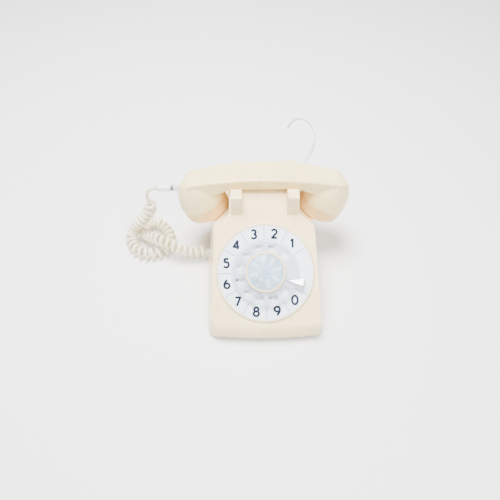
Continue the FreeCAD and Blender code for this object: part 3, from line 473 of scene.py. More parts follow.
def metal_group():
    """Sheet or turned metal: drawn grain and dull patches."""
    tree, given, put = new_group("Worked metal", {
        "Color": (0.6, 0.6, 0.6, 1), "Dull Color": (0.4, 0.38, 0.33, 1), "Dulling": 0.4, "Roughness": 0.3,
        "Grain": 0.2}, ("Color", "Roughness", "Height"))
    place = object_vector(tree, (-6, -2))
    drawn = object_vector(tree, (-6, -4), scale=(0.05, 1.0, 1.0))
    grain = noise(tree, (-4, -3), drawn, scale=1400, detail=3)
    dull = noise(tree, (-4, 0), place, scale=70, detail=5, roughness=0.6)
    dull = ramp(tree, (-3, 0), dull, low=0.42, high=0.72)
    dull = math_node(tree, "MULTIPLY", (-2, 0), dull, given["Dulling"])
    rough = math_node(tree, "MULTIPLY_ADD", (0, 0), dull, 0.3, given["Roughness"])
    feed_all(tree, put, {
        "Color": mix_colour(tree, (0, 1), dull, given["Color"], given["Dull Color"]),
        "Roughness": math_node(
            tree, "ADD", (2, 0), rough, math_node(tree, "MULTIPLY", (1, -1), grain, 0.1), clamp=True),
        "Height": math_node(tree, "MULTIPLY", (2, -2), grain, given["Grain"])})
    return tree


# ---- Materials ----------------------------------------------------------------------
def new_material(name):
    """An empty Principled material: (material, tree, shader)."""
    material = bpy.data.materials.new(name)
    material.use_nodes = True
    return opened(material)


def opened(material):
    """A material with its node tree and its shader."""
    return material, material.node_tree, material.node_tree.nodes["Principled BSDF"]


def place_group(tree, name, maker, place, values):
    """A node of a shared group, which is built the first time it is asked for."""
    shared = bpy.data.node_groups.get(name) or maker()
    return add_node(tree, "ShaderNodeGroup", place, values, node_tree=shared).outputs


def bump(tree, shader, height, strength, distance):
    """Feed a height into the shader's normal."""
    node = add_node(tree, "ShaderNodeBump", (2, -3), {
        "Height": height, "Strength": strength, "Distance": distance})
    feed(tree, shader.inputs["Normal"], node.outputs["Normal"])


def plastic(name, base, aged, roughness=0.24, ageing=0.6, peel=0.35, scratches=0.5, grime=0.25, reach=0.02,
            coat=0.0, shine=0.5, bump_depth=0.00012):
    """Glossy or satin moulded plastic with ageing, scratches and a little grime."""
    material, tree, shader = new_material(name)
    surface = place_group(tree, "Moulded plastic", moulding_group, (-3, 0), {
        "Color": base, "Aged Color": aged, "Ageing": ageing, "Roughness": roughness, "Peel": peel,
        "Scratches": scratches})
    soil = place_group(tree, "Soiling", soiling_group, (-1, 1), {
        "Color": surface["Color"], "Amount": grime, "Reach": reach})
    feed_all(tree, shader, {
        "Base Color": soil["Color"], "Roughness": surface["Roughness"], "Coat Weight": coat,
        "Specular IOR Level": shine})
    bump(tree, shader, surface["Height"], strength=0.35, distance=bump_depth)
    return material


def metal(name, base, dull, roughness=0.28, dulling=0.5, grain=0.3):
    """Plated, turned or drawn metal."""
    material, tree, shader = new_material(name)
    surface = place_group(tree, "Worked metal", metal_group, (-2, 0), {
        "Color": base, "Dull Color": dull, "Dulling": dulling, "Roughness": roughness, "Grain": grain})
    feed_all(tree, shader, {
        "Base Color": surface["Color"], "Roughness": surface["Roughness"], "Metallic": 1.0})
    bump(tree, shader, surface["Height"], strength=0.25, distance=0.00008)
    return material


def spot(tree, row, centre, radius, softness, strength):
    """A soft round mask about a point of the object, in metres."""
    distance = add_node(tree, "ShaderNodeVectorMath", (-3, row), {
        0: object_point(tree, (-4, row)), 1: centre}, operation="DISTANCE")
    mask = ramp(tree, (-2, row), distance.outputs["Value"], low=radius + softness, high=radius)
    return math_node(tree, "MULTIPLY", (0, row), mask, strength)


def handset_material(colours):
    """The handset's plastic, with a faint smudge on the grip and a small brown fleck on one ear."""
    material, tree, shader = opened(plastic(
        "Ivory handset", colours.handset, colours.handset_aged, roughness=0.27, ageing=0.7))
    before = shader.inputs["Base Color"].links[0].from_socket
    smudge = spot(tree, 3, GRIP_SMUDGE, radius=0.0012, softness=0.0035, strength=0.28)
    fleck = spot(tree, 4, EAR_FLECK, radius=0.0006, softness=0.0009, strength=0.7)
    marked = mix_colour(tree, (1, 3), smudge, before, (0.30, 0.27, 0.22))
    feed(tree, shader.inputs["Base Color"], mix_colour(tree, (1, 4), fleck, marked, (0.25, 0.11, 0.03)))
    return material


def clear(name, tint, alpha, roughness=0.06):
    """Clear moulding: mostly see-through, with a tinted body and a glossy face."""
    material, tree, shader = opened(plastic(
        name, tint, tint, roughness=roughness, ageing=0.2, peel=0.1, scratches=0.6, grime=0.02, coat=0.6,
        bump_depth=0.00004))
    edge = add_node(tree, "ShaderNodeLayerWeight", (-3, -4), {"Blend": 0.35})
    weight = math_node(tree, "MULTIPLY_ADD", (-1, -4), edge.outputs["Facing"], 0.55, alpha)
    feed(tree, shader.inputs["Alpha"], math_node(tree, "MINIMUM", (0, -4), weight, 1.0))
    return material


def card_material(colours):
    """The dial card: mottled blue-grey paper."""
    material, tree, shader = new_material("Card paper")
    place = object_vector(tree, (-6, 0))
    cloud = ramp(tree, (-3, 0), noise(tree, (-4, 0), place, scale=70, detail=4), low=0.35, high=0.7)
    fibre = noise(tree, (-4, -2), place, scale=1500, detail=3)
    feed_all(tree, shader, {
        "Base Color": mix_colour(tree, (-1, 0), cloud, colours.card, (0.40, 0.56, 0.70)),
        "Roughness": ramp(tree, (-1, -2), fibre, low=-1.2, high=1.6)})
    bump(tree, shader, fibre, strength=0.3, distance=0.00005)
    return material


def stop_material():
    """Plated finger stop, with painted shadow along its lower edge and its outer end."""
    material, tree, shader = opened(metal(
        "Chrome stop", (0.82, 0.83, 0.86), (0.55, 0.55, 0.58), roughness=0.08, dulling=0.3, grain=0.05))
    before = shader.inputs["Base Color"].links[0].from_socket
    shadow_masks = []
    for row, degrees, edge, depth in STOP_SHADOWS:
        way = DIAL_MATRIX.to_3x3() @ on_circle(1.0, degrees, 0.0)
        offset = add_node(tree, "ShaderNodeVectorMath", (-4, row), {
            0: object_point(tree, (-5, row)), 1: DIAL_CENTRE}, operation="SUBTRACT")
        along = add_node(tree, "ShaderNodeVectorMath", (-3, row), {0: offset.outputs["Vector"], 1: way},
                         operation="DOT_PRODUCT")
        shadow_masks.append(ramp(tree, (-2, row), along.outputs["Value"], low=(edge + depth) * MM,
                          high=(edge + depth * 0.4) * MM))
    mask = math_node(tree, "MAXIMUM", (-1, 4), *shadow_masks)
    # Near-black painted shadow on the stop's lower edge and outer end.
    feed(tree, shader.inputs["Base Color"], mix_colour(tree, (0, 4), mask, before, (0.03, 0.035, 0.045)))
    return material


def winding_material():
    """Fine enamelled wire wound side by side."""
    material, tree, shader = new_material("Enamelled winding")
    wave = add_node(tree, "ShaderNodeTexWave", (-3, 0), {
        "Vector": object_vector(tree, (-6, 0)), "Scale": 900.0, "Distortion": 0.4, "Detail": 1.0},
        bands_direction="Y").outputs["Fac"]
    feed_all(tree, shader, {
        "Base Color": mix_colour(tree, (-1, 0), wave, (0.10, 0.03, 0.01), (0.48, 0.17, 0.05)),
        "Roughness": ramp(tree, (-1, -2), wave, low=-0.6, high=2.4)})
    bump(tree, shader, wave, strength=0.5, distance=0.0001)
    return material


def floor_material(colours):
    """A plain pale table top with the faintest mottling."""
    material, tree, shader = new_material("Table top")
    cloud = noise(tree, (-4, 0), object_vector(tree, (-6, 0)), scale=3, detail=3)
    darker = [channel * 0.98 for channel in colours.floor]
    feed_all(tree, shader, {
        "Base Color": mix_colour(tree, (-1, 0), cloud, colours.floor, darker), "Roughness": 0.7})
    return material


FINISHES = {}


def finishes():
    """All materials by name, made once."""
    if FINISHES:
        return FINISHES
    colours = bpy.context.scene.telephone_colours
    FINISHES.update({
        "housing": plastic("Ivory housing", colours.moulding, colours.moulding_aged, roughness=0.26),
        "handset": handset_material(colours),
        # Darker, warmer copy of the handset's ivory for the caps: partly painted shade, as the caps are the
        # same plastic.
        "cap": plastic("Ivory caps", colours.cap, (0.74, 0.50, 0.26), roughness=0.30),
        "plate": plastic("Printed plate", colours.plate, (0.76, 0.84, 0.88), roughness=0.20, ageing=0.5,
                         grime=0.06, scratches=0.3),
        "ink": plastic("Printing ink", colours.ink, (0.02, 0.028, 0.055), roughness=0.75, peel=0.5,
                       grime=0.0, shine=0.15),
        "wheel": clear("Clear wheel", colours.wheel, 0.34),
        "window": clear("Clear window", (0.86, 0.90, 0.95), 0.08, 0.03),
        "clear_plug": clear("Clear plug", (0.82, 0.84, 0.84), 0.42, 0.10),
        "card": card_material(colours),
        # Pale colour for the card's ring of ticks, and for the painted reflections of the clear dome on the
        # card.
        "card_print_and_reflections": plastic("Card, pale print and painted reflections", (0.62, 0.76, 0.88), (0.72, 0.84, 0.92), roughness=0.6,
                             ageing=0.9, grime=0.0),
        "card_print": plastic("Card, dark print", (0.10, 0.17, 0.15), (0.20, 0.26, 0.22), roughness=0.6,
                              ageing=0.9, grime=0.0),
        "gilt": plastic("Gilt rim", colours.gilt, (0.60, 0.46, 0.24), roughness=0.26, coat=0.3),
        "chrome": metal("Chrome", (0.50, 0.51, 0.54), (0.30, 0.30, 0.32), 0.09, 0.5, 0.05),
        "stop": stop_material(),
        "steel": metal("Zinc plate", (0.62, 0.60, 0.55), (0.42, 0.38, 0.28), 0.30),
        "brass": metal("Brass", (0.80, 0.62, 0.27), (0.50, 0.34, 0.14), 0.24),
        "gold": metal("Contact gold", (0.95, 0.70, 0.28), (0.80, 0.52, 0.18), 0.16, 0.3),
        "iron": metal("Soft iron", (0.22, 0.22, 0.23), (0.16, 0.12, 0.09), 0.45),
        "copper": metal("Copper strand", (0.80, 0.38, 0.20), (0.50, 0.22, 0.10), 0.30),
        "winding": winding_material(),
        "rubber": plastic("Black rubber", (0.022, 0.022, 0.022), (0.05, 0.045, 0.04), roughness=0.75,
                          peel=1.0, grime=0.3),
        "black": plastic("Black moulding", (0.025, 0.025, 0.027), (0.05, 0.045, 0.04), roughness=0.42),
        "cord": plastic("Ivory cord", colours.cord, (0.74, 0.62, 0.40), roughness=0.38, ageing=0.7,
                        grime=0.22, reach=0.012),
        "line": plastic("White cord", colours.line, (0.66, 0.66, 0.62), roughness=0.40, grime=0.25,
                        reach=0.004),
        "white": plastic("White moulding", (0.80, 0.83, 0.82), (0.72, 0.74, 0.70), roughness=0.22, coat=0.3),
        "collar": plastic("Dark collar", (0.10, 0.10, 0.11), (0.16, 0.15, 0.14), roughness=0.35),
        "floor": floor_material(colours)})
    return FINISHES


SLOT_FINISH = {
    "ivory_plastic": "housing", "plate_print": "plate", "gilt_rim": "gilt", "clear_plastic": "clear_plug",
    "card_paper": "card", "chrome": "chrome", "plated_steel": "steel", "brass": "brass", "rubber": "rubber",
    "black_plastic": "black", "winding": "winding", "iron": "iron", "ivory_cord": "cord",
    "white_cord": "line", "white_plastic": "white", "dark_collar": "collar"}

NODE_FINISH = {
    "handset_handle": "handset", "transmitter_cap": "cap", "receiver_cap": "cap", "finger_wheel": "wheel",
    "card_window": "window", "finger_stop": "stop"}


def node_object(node):
    """The object of a CAD node."""
    found = frame["nodes"][node]
    return found if isinstance(found, bpy.types.Object) else bpy.data.objects[node]


def dress(nodes):
    """Put the right finish on CAD nodes."""
    slots = {part["node"]: part["material_slot"] for part in frame["record"]["subparts"]}
    for node in nodes:
        finish = NODE_FINISH.get(node) or SLOT_FINISH[slots[node]]
        piece = node_object(node)
        if not piece.material_slots:
            piece.data.materials.append(None)
        for slot in piece.material_slots:
            slot.material = finishes()[finish]


# ---- Geometry node trees ------------------------------------------------------------
def new_geometry_tree(name, inputs):
    """An empty geometry node tree with named inputs: (tree, given values, output node)."""
    tree = bpy.data.node_groups.new(name, "GeometryNodeTree")
    tree.is_modifier = True
    for label, kind in inputs.items():
        tree.interface.new_socket(label, in_out="INPUT", socket_type="NodeSocket" + kind)
    tree.interface.new_socket("Geometry", in_out="OUTPUT", socket_type="NodeSocketGeometry")
    return tree, add_node(tree, "NodeGroupInput", (-8, 0)).outputs, add_node(tree, "NodeGroupOutput", (8, 0))


def finish_tree(tree, put, points, size, material, rotation=None):
    """Set blocks on points, make them real and give them their material."""
    block = add_node(tree, "GeometryNodeMeshCube", (-2, 3), {"Size": size})
    instances = add_node(tree, "GeometryNodeInstanceOnPoints", (2, 1), {
        "Points": points, "Instance": block.outputs["Mesh"]})
    if rotation is not None:
        feed(tree, instances.inputs["Rotation"], rotation)
    real = add_node(tree, "GeometryNodeRealizeInstances", (4, 1), {0: instances.outputs[0]})
    covered = add_node(tree, "GeometryNodeSetMaterial", (6, 1), {
        "Geometry": real.outputs[0], "Material": material})
    feed(tree, put.inputs[0], covered.outputs[0])


def combined(tree, place, *values):
    """A vector from its parts."""
    return add_node(tree, "ShaderNodeCombineXYZ", place, dict(enumerate(values))).outputs[0]


def ring_tree():
    """Bars set radially round a circle."""
    tree, given, put = new_geometry_tree(RING_TREE, {
        "Count": "Int", "Start": "Float", "Step": "Float", "Inner": "Float", "Outer": "Float",
        "Width": "Float", "Depth": "Float", "Height": "Float", "Material": "Material"})
    index = add_node(tree, "GeometryNodeInputIndex", (-8, -2)).outputs[0]
    angle = math_node(tree, "MULTIPLY_ADD", (-6, -1), index, given["Step"], given["Start"])
    middle = math_node(tree, "ADD", (-6, 1), given["Inner"], given["Outer"])
    middle = math_node(tree, "MULTIPLY", (-5, 1), middle, 0.5)
    across = math_node(tree, "MULTIPLY", (-4, -1), math_node(tree, "COSINE", (-5, -1), angle), middle)
    along = math_node(tree, "MULTIPLY", (-4, -2), math_node(tree, "SINE", (-5, -2), angle), middle)
    points = add_node(tree, "GeometryNodePoints", (-2, 1), {
        "Count": given["Count"], "Position": combined(tree, (-3, -1), across, along, given["Height"])})
    reach = math_node(tree, "SUBTRACT", (-4, 3), given["Outer"], given["Inner"])
    finish_tree(tree, put, points.outputs[0], combined(tree, (-3, 3), reach, given["Width"], given["Depth"]),
                given["Material"], combined(tree, (-2, -2), 0.0, 0.0, angle))
    return tree


def row_tree():
    """Blocks in a straight row."""
    tree, given, put = new_geometry_tree(ROW_TREE, {
        "Count": "Int", "First": "Vector", "Offset": "Vector", "Size": "Vector", "Material": "Material"})
    line = add_node(tree, "GeometryNodeMeshLine", (-4, 1), {
        "Count": given["Count"], "Start Location": given["First"], "Offset": given["Offset"]})
    finish_tree(tree, put, line.outputs[0], given["Size"], given["Material"])
    return tree


def grown(name, tree, finish, matrix, values):
    """A plain mesh piece grown by a geometry node tree with the given inputs."""
    values = {**values, "Material": finishes()[finish]}
    holder = add_object(name, bpy.data.meshes.new(name))
    modifier = holder.modifiers.new("Grow", "NODES")
    modifier.node_group = tree
    for item in tree.interface.items_tree:
        if item.in_out == "INPUT":
            modifier[item.identifier] = values[item.name]
    return baked(holder, name, matrix)


def bars(name, finish, **values):
    """Bars round the dial; the keywords are the tree's inputs, in metres and radians."""
    tree = bpy.data.node_groups.get(RING_TREE) or ring_tree()
    return grown(name, tree, finish, DIAL_MATRIX, {key.capitalize(): value for key, value in values.items()})


def blocks(name, finish, matrix=None, **values):
    """Blocks in a row; the keywords are the tree's inputs, in metres."""
    tree = bpy.data.node_groups.get(ROW_TREE) or row_tree()
    return grown(name, tree, finish, matrix, {key.capitalize(): value for key, value in values.items()})


# ---- Pieces -------------------------------------------------------------------------
def arc(x, y, across, up, first, last, steps=18):
    """Points on an ellipse between two angles in degrees."""
    turns = [math.radians(first + (last - first) * i / steps) for i in range(steps + 1)]
    return [(x + across * math.cos(turn), y + up * math.sin(turn)) for turn in turns]


def strokes(digit):
    """The pen strokes of a figure, one unit high."""
    six = [arc(0.62, 0.28, 0.58, 0.72, 112, 178), arc(0.35, 0.28, 0.31, 0.28, 0, 360, 28)]
    return {
        "0": [arc(0.35, 0.5, 0.33, 0.5, 0, 360, 32)],
        "1": [[(0.14, 0.78), (0.36, 1.0), (0.36, 0.0)]],
        "2": [arc(0.35, 0.71, 0.28, 0.29, 165, -28) + [(0.04, 0.0), (0.66, 0.0)]],
        "3": [arc(0.33, 0.76, 0.25, 0.24, 155, -90), arc(0.33, 0.26, 0.30, 0.26, 90, -155)],
        "4": [[(0.50, 0.0), (0.50, 1.0), (0.02, 0.27), (0.70, 0.27)]],
        "5": [[(0.60, 1.0), (0.17, 1.0), (0.11, 0.55)], arc(0.32, 0.32, 0.31, 0.32, 132, -150)],
        "6": six,
        "7": [[(0.04, 1.0), (0.64, 1.0), (0.22, 0.0)]],
        "8": [arc(0.35, 0.77, 0.24, 0.23, 0, 360, 24), arc(0.35, 0.27, 0.31, 0.27, 0, 360, 28)],
        "9": [[(0.70 - x, 1.0 - y) for x, y in stroke] for stroke in six],
    }[digit]


def square_cornered(stroke):
    """A stroke with points close to both sides of each sharp corner, so that the pen keeps its width."""
    points = [stroke[0]]
    for before, corner, after in zip(stroke, stroke[1:], stroke[2:]):
        arrive = Vector(corner) - Vector(before)
        leave = Vector(after) - Vector(corner)
        if arrive.angle(leave) > SHARP_CORNER:
            points += [tuple(Vector(corner) - arrive.normalized() * CORNER_GAP), corner,
                       tuple(Vector(corner) + leave.normalized() * CORNER_GAP)]
        else:
            points.append(corner)
    return points + [stroke[-1]]


def figure(digit, place):
    """A figure drawn with a round pen, pressed flat and centred on a place in the dial's plane."""
    sizes = bpy.context.scene.telephone_sizes
    tall = sizes.numeral_height - sizes.pen_width
    middle_x, middle_y = FIGURE_MIDDLE
    runs = [[((x - middle_x) * tall, (y - middle_y) * tall, 0) for x, y in square_cornered(stroke)]
            for stroke in strokes(digit)]
    press = Matrix.Diagonal((1, 1, sizes.print_depth / sizes.pen_width, 1))
    return baked(line_object("figure", runs, radius=sizes.pen_width / 2), "figure",
                 DIAL_MATRIX @ Matrix.Translation(place) @ press)


def lettering(text, place):
    """A thin mesh of text, centred on a place in the dial's plane."""
    sizes = bpy.context.scene.telephone_sizes
    curve = bpy.data.curves.new("letters", "FONT")
    curve.body = text
    curve.align_x = "CENTER"
    curve.size = 1.0
    curve.resolution_u = 6
    curve.extrude = 0.5
    curve.offset = LETTER_WEIGHT
    piece = baked(add_object("letters", curve), "letters")
    spots = [vertex.co for vertex in piece.data.vertices]
    low, high = (Vector([pick(spot[i] for spot in spots) for i in range(3)]) for pick in (min, max))
    scale = sizes.letter_height / (high.y - low.y)
    press = Matrix.Diagonal((scale * LETTER_SQUEEZE, scale, sizes.print_depth, 1))
    piece.data.transform(press @ Matrix.Translation(-(low + high) / 2))
    piece.data.transform(DIAL_MATRIX @ Matrix.Translation(place))
    return piece


def on_circle(radius, degrees, height):
    """A place in the dial's frame."""
    turn = math.radians(degrees)
    return Vector((radius * math.cos(turn), radius * math.sin(turn), height))


class TELEPHONE_OT_finish_housing(Operator):
    """Finish the housing, base and everything inside them"""
    bl_idname = "telephone.finish_housing"
    bl_label = "Finish Housing and Works"

    def execute(self, context):
        handled = set(frame["record"]["behaviour"]["bodies"]["handset"])
        dress([part["node"] for part in frame["record"]["subparts"] if part["node"] not in handled])
        return {"FINISHED"}


class TELEPHONE_OT_finish_handset(Operator):
    """Finish the handset, its caps and its units"""
    bl_idname = "telephone.finish_handset"
    bl_label = "Finish Handset"

    def execute(self, context):
        dress(frame["record"]["behaviour"]["bodies"]["handset"])
        return {"FINISHED"}


class TELEPHONE_OT_print_numerals(Operator):
    """Print the ten large numerals and the letter groups on the number plate"""
    bl_idname = "telephone.print_numerals"
    bl_label = "Print Numerals and Letters"

    def execute(self, context):
        sizes = context.scene.telephone_sizes
        height = PLATE_TOP + sizes.print_depth / 2
        numerals, letters = [], []
        for i, digit in enumerate(DIGITS):
            turn = FIRST_NUMERAL + NUMERAL_STEP * i + math.degrees(sizes.print_turn)
            numerals.append(figure(digit, on_circle(sizes.numeral_circle, turn, height)))
            if LETTERS[i]:
                letters.append(lettering(LETTERS[i], on_circle(sizes.letter_circle, turn, height)))
        finish_piece(joined("plate_numerals", numerals), "telephone", "ink")
        finish_piece(joined("plate_letters", letters), "telephone", "ink")
        return {"FINISHED"}


class TELEPHONE_OT_print_lines(Operator):
    """Print the dividing lines between the numerals"""
    bl_idname = "telephone.print_lines"
    bl_label = "Print Dividing Lines"

    def execute(self, context):
        sizes = context.scene.telephone_sizes
        lines = bars(
            "plate_lines", "ink", count=11, start=math.radians(30) + sizes.print_turn, step=math.radians(30),
            inner=sizes.line_inner, outer=sizes.line_outer, width=sizes.line_width, depth=sizes.print_depth,
            height=PLATE_TOP + sizes.print_depth / 2)
        finish_piece(lines, "telephone")
        return {"FINISHED"}


class TELEPHONE_OT_print_card(Operator):
    """Print the ring of ticks and the rules on the card in the middle of the dial, and paint eight pale bars
    on it as painted reflections of the clear dome
    """
    bl_idname = "telephone.print_card"
    bl_label = "Print Card"

    def execute(self, context):
        height = CARD_TOP + PRINT_LAYER
        # Eight pale radial bars: painted reflections of the clear dome over the card, not print.
        painted_reflections = bars(
            "card_painted_reflections", "card_print_and_reflections", count=8, start=math.radians(12), step=math.radians(45),
            inner=8.5 * MM, outer=19.5 * MM, width=4.6 * MM, depth=PRINT_THICKNESS, height=height)
        ticks = bars(
            "card_ticks", "card_print_and_reflections", count=48, start=0.0, step=math.radians(7.5), inner=5.6 * MM,
            outer=6.6 * MM, width=0.5 * MM, depth=PRINT_THICKNESS, height=height)
        rules = blocks(
            "card_rules", "card_print", DIAL_MATRIX, count=4,
            first=(-8.0 * MM, -14.0 * MM, height + PRINT_LAYER), offset=(-0.7 * MM, 1.5 * MM, 0.0),
            size=(7.5 * MM, 0.7 * MM, PRINT_THICKNESS))
        for piece in (painted_reflections, ticks, rules):
            finish_piece(piece, "dial")
        return {"FINISHED"}


def helix(centre_line, sizes):
    """Points of a coil wound round a line, opening out from and closing on the line's ends."""
    places, total = walk(centre_line, sizes.turn_pitch / sizes.points_per_turn)
    points = []
    for i, ((centre, direction, distance), side) in enumerate(zip(places, frames_along(places))):
        reach = smooth_step(min(distance / TURN_RAMP, (total - distance) / TURN_RAMP))
        uneven = (1 + QUICK_WAVE * math.sin(distance * QUICK_RATE)
                  + SLOW_WAVE * math.sin(distance * SLOW_RATE + SLOW_PHASE))
        turn = 2 * math.pi * i / sizes.points_per_turn
        outward = side * math.cos(turn) + direction.cross(side) * math.sin(turn)
        points.append(centre + outward * sizes.turn_radius * min(uneven, WIDEST_TURN) * reach)
    return points


class TELEPHONE_OT_lay_handset_cord(Operator):
    """Wind and lay the curly handset cord"""
    bl_idname = "telephone.lay_handset_cord"
    bl_label = "Lay Handset Cord"

    def execute(self, context):
        sizes = context.scene.telephone_sizes
        route = smooth_line(TAIL_ROUTE + COIL_ROUTE)
        start = min(range(len(route)), key=lambda i: (route[i] - Vector(COIL_ROUTE[0])).length)
        turns = helix(route[start:], sizes)
        tail = [place for place, _, _ in walk(route[:start], TAIL_STEP)[0]]
        while (tail[-1] - turns[0]).length < JOIN_GAP:
            tail.pop()
        points = tail + turns
        round_line = line_object("handset_cord", [points], "NURBS", radius=sizes.cord_diameter / 2, detail=2)
        cord = baked(round_line, "handset_cord")
        coat(cord, "cord")
        cord.data.shade_smooth()
        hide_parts("handset_cord_tail", "handset_cord_coil")
        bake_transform(cord)
        return {"FINISHED"}


def flat_section(width, thickness, count=16):
    """Points of a flat cord's section: rounded edges with a shallow groove along the middle."""
    points = []
    for i in range(count):
        turn = 2 * math.pi * i / count
        across = math.copysign(abs(math.cos(turn)) ** 0.55, math.cos(turn)) * width / 2
        groove = 1 - 0.12 * math.exp(-(across / (width * 0.16)) ** 2)
        rise = math.copysign(abs(math.sin(turn)) ** 0.8, math.sin(turn)) * thickness / 2 * groove
        points.append((across, rise))
    return points


class TELEPHONE_OT_lay_line_cord(Operator):
    """Lay the flat line cord, which turns on edge round its bend, with its cut end"""
    bl_idname = "telephone.lay_line_cord"
    bl_label = "Lay Line Cord"

    def execute(self, context):
        sizes = context.scene.telephone_sizes
        width, thick = sizes.line_width_cord, sizes.line_thickness
        places, total = walk(smooth_line(LINE_ROUTE), LINE_STEP)
        section = flat_section(width, thick)
        path, rings = [], []
        for centre, direction, distance in places:
            lean = FULL_LEAN * smooth_step((distance - LEAN_FROM) / LEAN_OVER)
            level = Vector((direction.y, -direction.x, 0)).normalized()
            upright = direction.cross(level).normalized()
            upright = -upright if upright.z < 0 else upright
            wide = level * math.cos(lean) + upright * math.sin(lean)
            deep = upright * math.cos(lean) - level * math.sin(lean)
            half = abs(wide.z) * width / 2 + abs(deep.z) * thick / 2
            settled = min(1.0, distance / SETTLE_OVER)
            middle = centre.copy()
            middle.z = centre.z + (half + TABLE_GAP - centre.z) * settled
            path.append(middle)
            rings.append([middle + wide * a + deep * b for a, b in section])
        cord = tube_mesh("line_cord_jacket", path, rings)
        cord.data.shade_smooth()
        finish_piece(cord, "telephone", "line")
        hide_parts("line_cord")
        ends = self.strands(path[-1], places[-1][1], rings[-1])
        return {"FINISHED"}

    def strands(self, end, direction, ring):
        """Short bare strands at the cut end, as one piece in a list."""
        wide = (ring[0] - ring[len(ring) // 2]).normalized()
        pieces = []
        for i in range(STRAND_COUNT):
            place = i - (STRAND_COUNT - 1) / 2
            root = end + wide * place * STRAND_PITCH
            tips = [root - direction * STRAND_ROOT, root + direction * STRAND_BEND,
                    root + direction * STRAND_TIP + wide * place * STRAND_SPREAD]
            pieces.append(baked(line_object("strand", [tips], radius=STRAND_RADIUS), "strand"))
        return [finish_piece(joined("line_cord_strands", pieces), "telephone", "copper")]


class TELEPHONE_OT_fit_contacts(Operator):
    """Fit the gold contacts and white wires in the clear plugs"""
    bl_idname = "telephone.fit_contacts"
    bl_label = "Fit Plug Contacts"

    def execute(self, context):
        low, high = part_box("swivel_plug")
        middle = (Vector(low) + Vector(high)) / 2
        blades = blocks(
            "plug_contacts", "gold", count=4, first=(high[0] - 0.004, middle.y - 1.9 * MM, low[2] + 0.0012),
            offset=(0.0, CONTACT_PITCH, 0.0), size=(4.0 * MM, 0.35 * MM, 2.0 * MM))
        finish_piece(blades, "handset")
        wires = blocks(
            "plug_wires", "white", count=4, first=(low[0] + 0.0072, middle.y - 1.7 * MM, middle.z),
            offset=(0.0, WIRE_PITCH, 0.0), size=(13.0 * MM, 0.7 * MM, 0.7 * MM))
        finish_piece(wires, "handset")
        low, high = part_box("line_plug")
        middle = (Vector(low) + Vector(high)) / 2
        blades = blocks(
            "line_contacts", "gold", count=4, first=(middle.x - 1.9 * MM, low[1] + 0.003, high[2] - 0.0014),
            offset=(CONTACT_PITCH, 0.0, 0.0), size=(0.35 * MM, 4.0 * MM, 2.0 * MM))
        finish_piece(blades, "telephone")
        return {"FINISHED"}


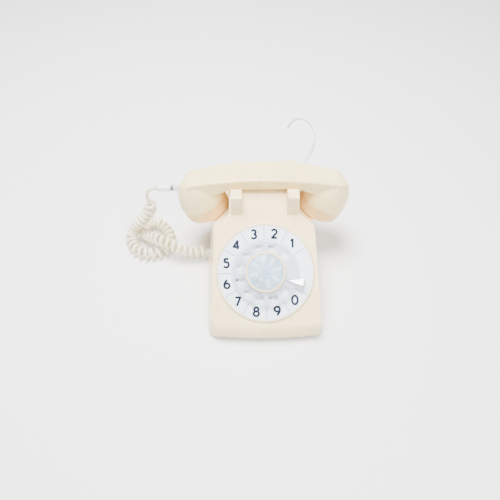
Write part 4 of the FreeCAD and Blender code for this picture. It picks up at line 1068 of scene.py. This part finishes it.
class TELEPHONE_OT_set_stage(Operator):
    """Set the table top, soft lights and camera"""
    bl_idname = "telephone.set_stage"
    bl_label = "Set Stage"

    def execute(self, context):
        stage = context.scene.telephone_stage
        self.floor()
        self.camera(context, stage)
        self.light("Key", KEY_PLACE, KEY_SIZE, stage.key_power)
        self.light("Fill", FILL_PLACE, FILL_SIZE, stage.fill_power)
        world = bpy.data.worlds.new("Even light")
        world.use_nodes = True
        feed_all(world.node_tree, world.node_tree.nodes["Background"], {
            "Color": (1, 1, 1), "Strength": stage.sky})
        context.scene.world = world
        return {"FINISHED"}

    def floor(self):
        """A wide flat sheet at table height."""
        mesh = bmesh.new()
        bmesh.ops.create_grid(mesh, x_segments=8, y_segments=8, size=TABLE_HALF)
        floor = built("table_top", mesh)
        floor.location.z = -TABLE_DROP
        coat(floor, "floor")

    def camera(self, context, stage):
        """The camera, in front of the telephone and well above it."""
        camera = bpy.data.cameras.new("Camera")
        camera.lens = stage.lens
        camera.sensor_width = SENSOR_WIDTH
        holder = add_object("Camera", camera)
        turn = Matrix.Rotation(stage.turn, 4, "Z")
        holder.location = DIAL_CENTRE + turn @ (CAMERA_PLACE - DIAL_CENTRE)
        holder.rotation_euler = (turn @ Matrix.Rotation(math.pi / 2 - stage.elevation, 4, "X")).to_euler()
        context.scene.camera = holder

    def light(self, name, place, size, power):
        """A large soft light aimed at the telephone."""
        lamp = bpy.data.lights.new(name, "AREA")
        lamp.shape = "DISK"
        lamp.size = size
        lamp.energy = power
        holder = add_object(name, lamp)
        holder.location = place
        holder.rotation_euler = (LIT_SPOT - Vector(place)).to_track_quat("-Z", "Y").to_euler()


class TELEPHONE_PT_panel(Panel):
    """Lists the telephone's steps and settings"""
    bl_idname = "TELEPHONE_PT_panel"
    bl_label = "Rotary Telephone"
    bl_space_type = "VIEW_3D"
    bl_region_type = "UI"
    bl_category = "Telephone"

    def draw(self, context):
        for operator in OPERATORS:
            self.layout.operator(operator.bl_idname)
        for settings in (context.scene.telephone_colours, context.scene.telephone_sizes,
                         context.scene.telephone_stage):
            box = self.layout.box()
            for key in settings.__annotations__:
                box.prop(settings, key)


OPERATORS = (
    TELEPHONE_OT_finish_housing, TELEPHONE_OT_finish_handset, TELEPHONE_OT_print_numerals,
    TELEPHONE_OT_print_lines, TELEPHONE_OT_print_card, TELEPHONE_OT_lay_handset_cord,
    TELEPHONE_OT_lay_line_cord, TELEPHONE_OT_fit_contacts, TELEPHONE_OT_set_stage)
CLASSES = (TelephoneColours, TelephoneSizes, TelephoneStage) + OPERATORS + (TELEPHONE_PT_panel,)


def register():
    """Register the classes and attach the settings to the scene."""
    for cls in CLASSES:
        bpy.utils.register_class(cls)
    bpy.types.Scene.telephone_colours = PointerProperty(type=TelephoneColours)
    bpy.types.Scene.telephone_sizes = PointerProperty(type=TelephoneSizes)
    bpy.types.Scene.telephone_stage = PointerProperty(type=TelephoneStage)


def unregister():
    """Detach the settings and unregister the classes."""
    del bpy.types.Scene.telephone_stage
    del bpy.types.Scene.telephone_sizes
    del bpy.types.Scene.telephone_colours
    for cls in reversed(CLASSES):
        bpy.utils.unregister_class(cls)


def main():
    """Run every step in order."""
    register()
    bpy.ops.telephone.finish_housing()
    bpy.ops.telephone.finish_handset()
    bpy.ops.telephone.print_numerals()
    bpy.ops.telephone.print_lines()
    bpy.ops.telephone.print_card()
    bpy.ops.telephone.lay_handset_cord()
    bpy.ops.telephone.lay_line_cord()
    bpy.ops.telephone.fit_contacts()
    bpy.ops.telephone.set_stage()


if __name__ == "__main__":
    main()
